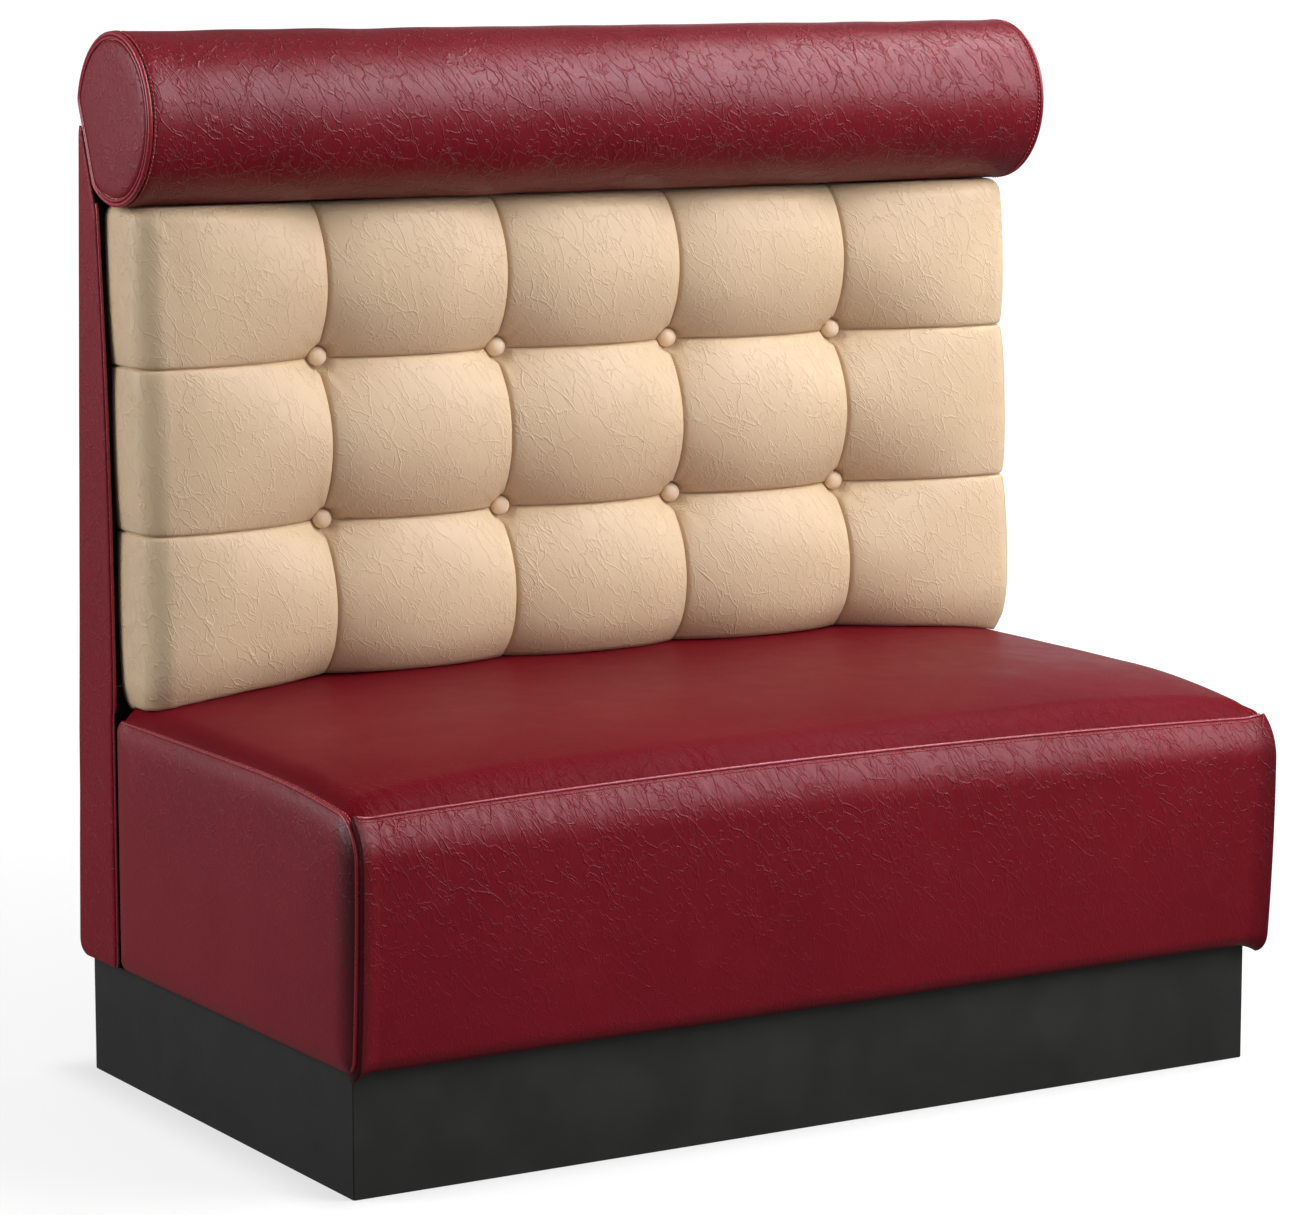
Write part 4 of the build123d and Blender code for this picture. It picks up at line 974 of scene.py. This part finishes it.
def roll_ring():
    """Section of the roll: round, with a flat where it sits on the frame, as (y, z) and outward normals."""
    corner_x = ROLL_FLAT - ROLL_TURN
    corner_y = math.sqrt((ROLL_RADIUS - ROLL_TURN) ** 2 - corner_x ** 2)
    theta = math.atan2(corner_y, corner_x)
    round_outs = circle(theta, 2 * math.pi - theta, 132)
    low_outs, high_outs = circle(-theta, 0, 8)[1:], circle(0, theta, 8)[:-1]
    flat = np.column_stack([np.full(10, ROLL_FLAT), np.linspace(-corner_y, corner_y, 12)[1:-1]])
    low_corner = np.array([corner_x, -corner_y]) + low_outs * ROLL_TURN
    high_corner = np.array([corner_x, corner_y]) + high_outs * ROLL_TURN
    local = np.concatenate([round_outs * ROLL_RADIUS, low_corner, flat, high_corner])
    outs = np.concatenate([round_outs, low_outs, np.tile([1.0, 0.0], (10, 1)), high_outs])
    places = np.array([ROLL_Y, ROLL_Z]) + local[:, :1] * ROLL_WAYS[0] + local[:, 1:] * ROLL_WAYS[1]
    return places, outs[:, :1] * ROLL_WAYS[0] + outs[:, 1:] * ROLL_WAYS[1]


ROLL_BASE, ROLL_OUTS = roll_ring()
# Places across and insets from the roll's outline, for its rolled ends, its end panels and the black bands of
# painted shade behind their welts
ROLL_TIPS = ((ROLL_END, 20.0), (ROLL_END, 8.0), (592.4, 3.5), (591.8, 2.0), (590.6, 1.1), (589.0, 0.6),
             (586.5, 0.25), (583.0, 0.05))
CAP_EDGE = ((594.0, 12.0), (594.2, 10.4), (595.6, 9.6), (597.2, 9.8), (598.6, 10.8), (599.6, 12.6),
            (600.3, 15.5), (600.9, 20.0))
CAP_GAP_SHADE = ((592.7, 1.9), (592.7, 1.2), (597.4, 1.2), (597.4, 9.0), (597.1, 9.0), (597.1, 1.9))
CAP_CENTRE = np.array([ROLL_Y - 6, ROLL_Z])


def roll_at(x, inset):
    return section(x, ROLL_BASE - ROLL_OUTS * inset)


def roll_rings():
    around = distances(ROLL_BASE)
    rings = [roll_at(-x, inset) for x, inset in ROLL_TIPS]
    for x in np.linspace(-578, 578, 240):
        free = smooth(ROLL_Y + 70, ROLL_Y + 30, ROLL_BASE[:, 0])
        move = 0.8 * waves(x, around, 150, 31) * smooth(585, 560, abs(x)) * free - 0.4
        rings.append(section(x, ROLL_BASE + ROLL_OUTS * move[:, None]))
    return rings + [roll_at(x, inset) for x, inset in ROLL_TIPS[::-1]]


def cap_data(sign):
    """A padded end panel of the roll."""
    rings = [roll_at(sign * x, inset) for x, inset in CAP_EDGE]
    last = ROLL_BASE - ROLL_OUTS * 19.5
    for shrink in np.linspace(0.93, 0.06, 14):
        inner = CAP_CENTRE + (last - CAP_CENTRE) * shrink
        lift = 601.0 + 2.6 * (1 - shrink ** 2) + 0.4 * waves(inner[:, 0], inner[:, 1], 70, 41)
        rings.append(section(sign * lift, inner))
    return fanned(rings, [(sign * 594.0, *CAP_CENTRE), (sign * 603.8, *CAP_CENTRE)])


def cap_gap_shade_data(sign):
    """A black band behind the welts of an end panel: painted shade in the gap between welts and panel."""
    band = np.array([roll_at(sign * x, inset) for x, inset in CAP_GAP_SHADE])
    rows, count = band.shape[:2]
    last = (rows - 1) * count
    joins = [(last + step, last + (step + 1) % count, (step + 1) % count, step) for step in range(count)]
    return band.reshape(-1, 3), ring_faces(rows, count) + joins


roll = loft("roll_upholstery", roll_rings(), roll_leather, LEATHER,
            [(-ROLL_END, ROLL_Y, ROLL_Z), (ROLL_END, ROLL_Y, ROLL_Z)])
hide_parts("roll_cover", "roll_foam")
caps = add_mesh("roll_end_caps", *joined_data([cap_data(sign) for sign, _ in SIDES]), burgundy,
                LEATHER)
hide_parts("roll_end_panels")
# Black bands of painted shade behind the end panels' welts
add_mesh("roll_end_gap_shades", *joined_data([cap_gap_shade_data(sign) for sign, _ in SIDES]), black, "black_cloth")
welt_parts = [tube_data(roll_at(sign * x, inset), inset_radius, sides, True) for sign, _ in SIDES
              for x, inset, inset_radius, sides in ((596.2, 2.9, 2.9, 12), (597.6, 7.4, 1.9, 10))]
ring_welts = add_mesh("roll_end_welts", *joined_data(welt_parts), piping, PIPING)
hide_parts("roll_end_piping")
for sign, side in SIDES:
    stitches(f"roll_{side}_stitches", roll_at(sign * 591.3, 0.7), section(sign * 0.4, ROLL_OUTS),
             5.0, 4.3, 1.1)


# Back sides and outside back

BACK_TURN = 20.0
BACK_INSET = 1.3
STRIP_TURN = 9.0
BULGE = 7.0
BULGE_LOW = 455
BULGE_TOP = 1025


def roll_line_y(z):
    """The plane of the frame that the roll's flat sits on, as depth at a height."""
    reach = ROLL_FLAT + 0.3
    return (reach + (z - ROLL_Z) * math.sin(ROLL_TILT)) / math.cos(ROLL_TILT) + ROLL_Y


def frame_rear_y(z):
    return REAR_Y - REAR_LEAN * (np.asarray(z, dtype=float) - PLINTH)


def strip_edges(z):
    """Depth of a side strip's front and rear edges at a height."""
    front = max(float(face_y(z)), float(roll_line_y(z)))
    if BULGE_LOW < z < BULGE_TOP:
        front -= BULGE * math.sin(math.pi * (z - BULGE_LOW) / (BULGE_TOP - BULGE_LOW))
    front += 3.0 * (1 - float(smooth(SEAT_TOP, SEAT_TOP + 14, z)))
    front += STRIP_TURN * float(quarter(max(0, 1 - (z - PLINTH) / STRIP_TURN)))
    rear = float(frame_rear_y(z)) - BACK_TURN * float(quarter(max(0, 1 - (z - PLINTH) / BACK_TURN)))
    return front, rear


tip_z = PLINTH
while float(roll_line_y(tip_z)) < float(frame_rear_y(tip_z)) - 6 and tip_z < 1300:
    tip_z += 0.5


def strip_rings(sign):
    heights = np.concatenate([PLINTH + 0.1 + BACK_TURN * (1 - np.cos(np.linspace(0, math.pi / 2, 10))),
                              np.linspace(PLINTH + BACK_TURN, BULGE_LOW, 26)[1:],
                              np.linspace(BULGE_LOW, 1010, 60)[1:],
                              np.linspace(1010, tip_z, 30)[1:]])
    shares = np.linspace(-1, 1, 25)
    rings = []
    for z in heights:
        front, rear = strip_edges(z)
        half, middle = (rear - front) / 2, (rear + front) / 2
        end_fade = min(1, max(0.05, (z - PLINTH) / 9), max(0.05, (tip_z - z) / 9))
        edge = np.minimum(1, (1 - np.abs(shares)) * half / 7.0)
        crown = 2.6 * (1 - (1 - edge) ** 2) ** 0.5 * end_fade ** 0.5
        crown = crown + 0.35 * waves(shares * half, z, 110, 51) * edge
        across = np.concatenate([STRIP_FACE + crown, np.full(9, STRIP_INSIDE)])
        y = middle + half * np.concatenate([shares, np.linspace(0.98, -0.98, 9)])
        rings.append(np.column_stack([sign * across, y, np.full(len(y), z)]))
    return rings


for sign, side in SIDES:
    strip = loft(f"back_{side}_upholstery", strip_rings(sign), strip_leather, LEATHER)
    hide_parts(f"back_{side}_cover")
    path = [[sign * REAR_END, strip_edges(z)[0] - 1.6, z] for z in np.linspace(PLINTH + 4, 1008, 220)]
    edge_welt = tube(f"back_{side}_welt", path, 1.8, piping, PIPING)
    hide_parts(f"back_{side}_piping")

# Black sheets that close the joints around the seat's rear corners, painted shade standing in for the dark
# gaps there, as (x, y) outlines between two heights
JOINT_SHADE_SHEETS = (
    (((594.2, 239.0), (598.3, 239.0), (598.3, 245.5), (598.05, 245.5), (598.05, 241.2), (594.2, 241.2)),
     PLINTH + 2, SEAT_TOP + 6),
    (((594.1, 222.0), (594.5, 222.0), (594.5, 240.0), (594.1, 240.0)), PLINTH + 0.3, PLINTH + 18),
    (((550.0, 241.33), (597.9, 241.33), (597.9, 241.46), (550.0, 241.46)), 405, 464.8),
)
shade_sheet_parts = []
for sign, _ in SIDES:
    for outline, low_z, high_z in JOINT_SHADE_SHEETS:
        count = len(outline)
        box = [(sign * x, y, z) for z in (low_z, high_z) for x, y in outline]
        ends = [tuple(range(count - 1, -1, -1)), tuple(range(count, 2 * count))]
        shade_sheet_parts.append((np.array(box), ring_faces(2, count) + ends))
add_mesh("seat_joint_shade_sheets", *joined_data(shade_sheet_parts), black, "black_cloth", smooth_shade=False)


def rear_rings():
    """The outside back: a stretched cover with rolled edges, tucked under at its foot."""
    places = np.concatenate([eased(-REAR_END, -575, 8, 0.5), np.linspace(-570, 570, 120),
                             eased(575, REAR_END, 8, 0.5)])
    heights = np.linspace(PLINTH + BACK_TURN, tip_z - 2, 90)
    turn = np.linspace(0, math.pi / 2, 9)[1:]
    inner = np.column_stack([frame_rear_y(heights[::8]) - 4.0, heights[::8]])
    rings = []
    for x in places:
        inset = BACK_INSET * np.clip((abs(x) - 586) / 12, 0, 1) ** 2
        swell = 0.5 * waves(x, heights, 240, 61) * smooth(590, 540, abs(x))
        outer = np.column_stack([frame_rear_y(heights) - inset + swell - 0.3, heights])[::-1]
        base = outer[-1][0]
        under = np.array([[base - 50, PLINTH + inset], [base - 78, PLINTH + inset],
                          [base - 78, PLINTH + inset + 1.8], [base - 24, PLINTH + 3.8],
                          [base - 6.0, PLINTH + 14.0]])
        foot = np.column_stack([base - BACK_TURN + BACK_TURN * np.cos(turn),
                                PLINTH + BACK_TURN - (BACK_TURN - inset) * np.sin(turn)])
        rings.append(section(x, np.concatenate([outer, foot, under, inner])))
    return rings


rear_cover = loft("back_rear_upholstery", rear_rings(), burgundy, LEATHER,
                  [(-REAR_END, 340, 400), (REAR_END, 340, 400)])
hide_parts("back_rear_cover")


# Plinth boards with eased edges

def eased_copy(name, node, width, material, shade_line_material):
    """The node's own solid, with its sharp edges taken off and black there: painted shade lines along its
    corners and joints.
    """
    mesh = frame["nodes"][node].data.copy()
    mesh.name = name
    form = bmesh.new()
    form.from_mesh(mesh)
    bmesh.ops.remove_doubles(form, verts=form.verts, dist=1e-6)
    bmesh.ops.dissolve_limit(form, angle_limit=math.radians(2), verts=form.verts, edges=form.edges)
    sharp = [edge for edge in form.edges if edge.calc_face_angle(0) > math.radians(20)]
    bmesh.ops.bevel(form, geom=sharp, offset=width * MM, segments=2, profile=0.6, affect="EDGES", material=1)
    bmesh.ops.recalc_face_normals(form, faces=form.faces)
    form.to_mesh(mesh)
    form.free()
    mesh.materials.clear()
    mesh.materials.append(material)
    mesh.materials.append(shade_line_material)
    piece = new_piece(name, mesh)
    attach(piece, "root")
    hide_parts(node)


# The black bevels paint thin shade lines along the boards' corners and joints
BOARD_EDGE = 1.6
for side, finish in (("front", charcoal), ("left", shaded_side_charcoal), ("right", shaded_side_charcoal),
                     ("rear", charcoal)):
    eased_copy(f"plinth_{side}_laminate", f"plinth_{side}_board", BOARD_EDGE, finish, black)


# Floor, light and camera

def studio_piece(name, vertices, faces, shade, near_glow, foot=None):
    """Part of the white studio: seen by the camera, but throwing no light back on the bench.

    Its glow grows to full white away from the bench, where the lights no longer reach, and fades close to
    the foot, given as its middle and half sizes, as a painted contact shadow.
    """
    mesh = bpy.data.meshes.new(name)
    mesh.from_pydata(vertices, [], faces)
    piece = new_piece(name, mesh)
    paper = Nodes(name + "_paper")
    away = paper.add("ShaderNodeVectorMath", operation="LENGTH")
    paper.link(paper.place, away.inputs[0])
    glow = paper.ramp(away.outputs["Value"], 1.2, 3.6, near_glow, 1.03)
    if foot is not None:
        squares = []
        for axis, middle, half in foot:
            off = paper.math("ABSOLUTE", paper.math("SUBTRACT", paper.axes()[axis], middle))
            past = paper.math("MAXIMUM", paper.math("SUBTRACT", off, half), 0.0)
            squares.append(paper.math("POWER", past, 2.0))
        gap = paper.math("SQRT", paper.math("ADD", *squares))
        # Painted contact shadow: the glow drops to 0.8 close to the foot
        glow = paper.math("MULTIPLY", glow, paper.ramp(gap, -0.02, 0.065, 0.8, 1.0))
    paper.link(glow, paper.shader.inputs["Emission Strength"])
    paper.shader.inputs["Emission Color"].default_value = (1, 1, 1, 1)
    tone = paper.mix(paper.noise(0.7), (shade,) * 3, (shade + 0.02,) * 3)
    mesh.materials.append(paper.finish(tone, 0.85, specular=0.1))
    piece.visible_diffuse = False
    piece.visible_glossy = False
    piece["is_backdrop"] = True
    return piece


REACH = 30.0
DOME_REACH = REACH * 0.95
PLINTH_SHADOW_FOOT = (("X", -0.02, 0.575), ("Y", 0.02, 0.325))
floor_corners = [(-REACH, -REACH, 0), (REACH, -REACH, 0), (REACH, REACH, 0), (-REACH, REACH, 0)]
studio_piece("studio_floor", floor_corners, [(0, 1, 2, 3)], 0.24, 0.775, PLINTH_SHADOW_FOOT)
rings, steps = 10, 32
dome_points = [(DOME_REACH * math.cos(turn) * math.cos(lift), DOME_REACH * math.sin(turn) * math.cos(lift),
                DOME_REACH * math.sin(lift) - 0.5)
               for lift in np.linspace(0, math.pi / 2, rings + 1)[:-1]
               for turn in np.linspace(0, 2 * math.pi, steps + 1)[:-1]]
dome_points.append((0, 0, DOME_REACH - 0.5))
top = (rings - 1) * steps
crown_faces = [(top + step, top + (step + 1) % steps, rings * steps) for step in range(steps)]
dome = studio_piece("studio_backdrop", dome_points, ring_faces(rings, steps) + crown_faces, 0.1, 1.03)
dome.visible_shadow = False

world = bpy.data.worlds.new("studio")
bpy.context.scene.world = world
world.use_nodes = True
backdrop = world.node_tree.nodes["Background"].inputs
backdrop["Color"].default_value = (1, 1, 1, 1)
backdrop["Strength"].default_value = 0.17


def area_light(name, place, target, size, power, size_y=None):
    data = bpy.data.lights.new(name, "AREA")
    data.energy = power
    data.shape = "RECTANGLE"
    data.size = size
    data.size_y = size_y or size
    lamp = new_piece(name, data)
    lamp.location = place
    way = np.array(target) - np.array(place)
    yaw = math.atan2(way[1], way[0])
    tilt = math.atan2(math.hypot(way[0], way[1]), -way[2])
    lamp.rotation_euler = (tilt, 0, yaw - math.pi / 2)
    lamp.visible_camera = False


area_light("key_light", (2.2, -2.4, 2.7), (0, 0, 0.7), 2.6, 132)
area_light("top_strip_light", (1.7, -0.55, 3.2), (0.3, 0, 0.9), 3.2, 60, 0.4)
area_light("front_light", (-1.2, -4.4, 2.3), (0, 0, 0.7), 4.4, 40)
area_light("right_light", (3.6, -0.8, 1.9), (0.6, 0, 0.7), 1.6, 22)
area_light("left_light", (-3.5, 1.6, 2.0), (-0.6, 0.1, 0.8), 2.2, 86)
area_light("left_back_panel", (-3.2, 3.6, 1.3), (-0.6, 0, 0.8), 3.0, 11, 2.4)
area_light("right_back_panel", (2.9, 3.6, 1.3), (0.6, 0, 0.5), 2.2, 10, 2.0)

view = bpy.context.scene.view_settings
view.view_transform = "Standard"
view.look = "None"

camera_data = bpy.data.cameras.new("photo_camera")
# The lens and the place that were fitted to the bench's corners in the photograph
camera_data.lens = 125.36
camera_data.sensor_width = 36
camera_data.sensor_fit = "HORIZONTAL"
camera_data.clip_end = 100
camera = new_piece("photo_camera", camera_data)
camera.location = (-2.6788, -4.36714, 1.3137)
camera.rotation_euler = (math.radians(81.41), 0, math.radians(-31.14))
bpy.context.scene.camera = camera

low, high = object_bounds()
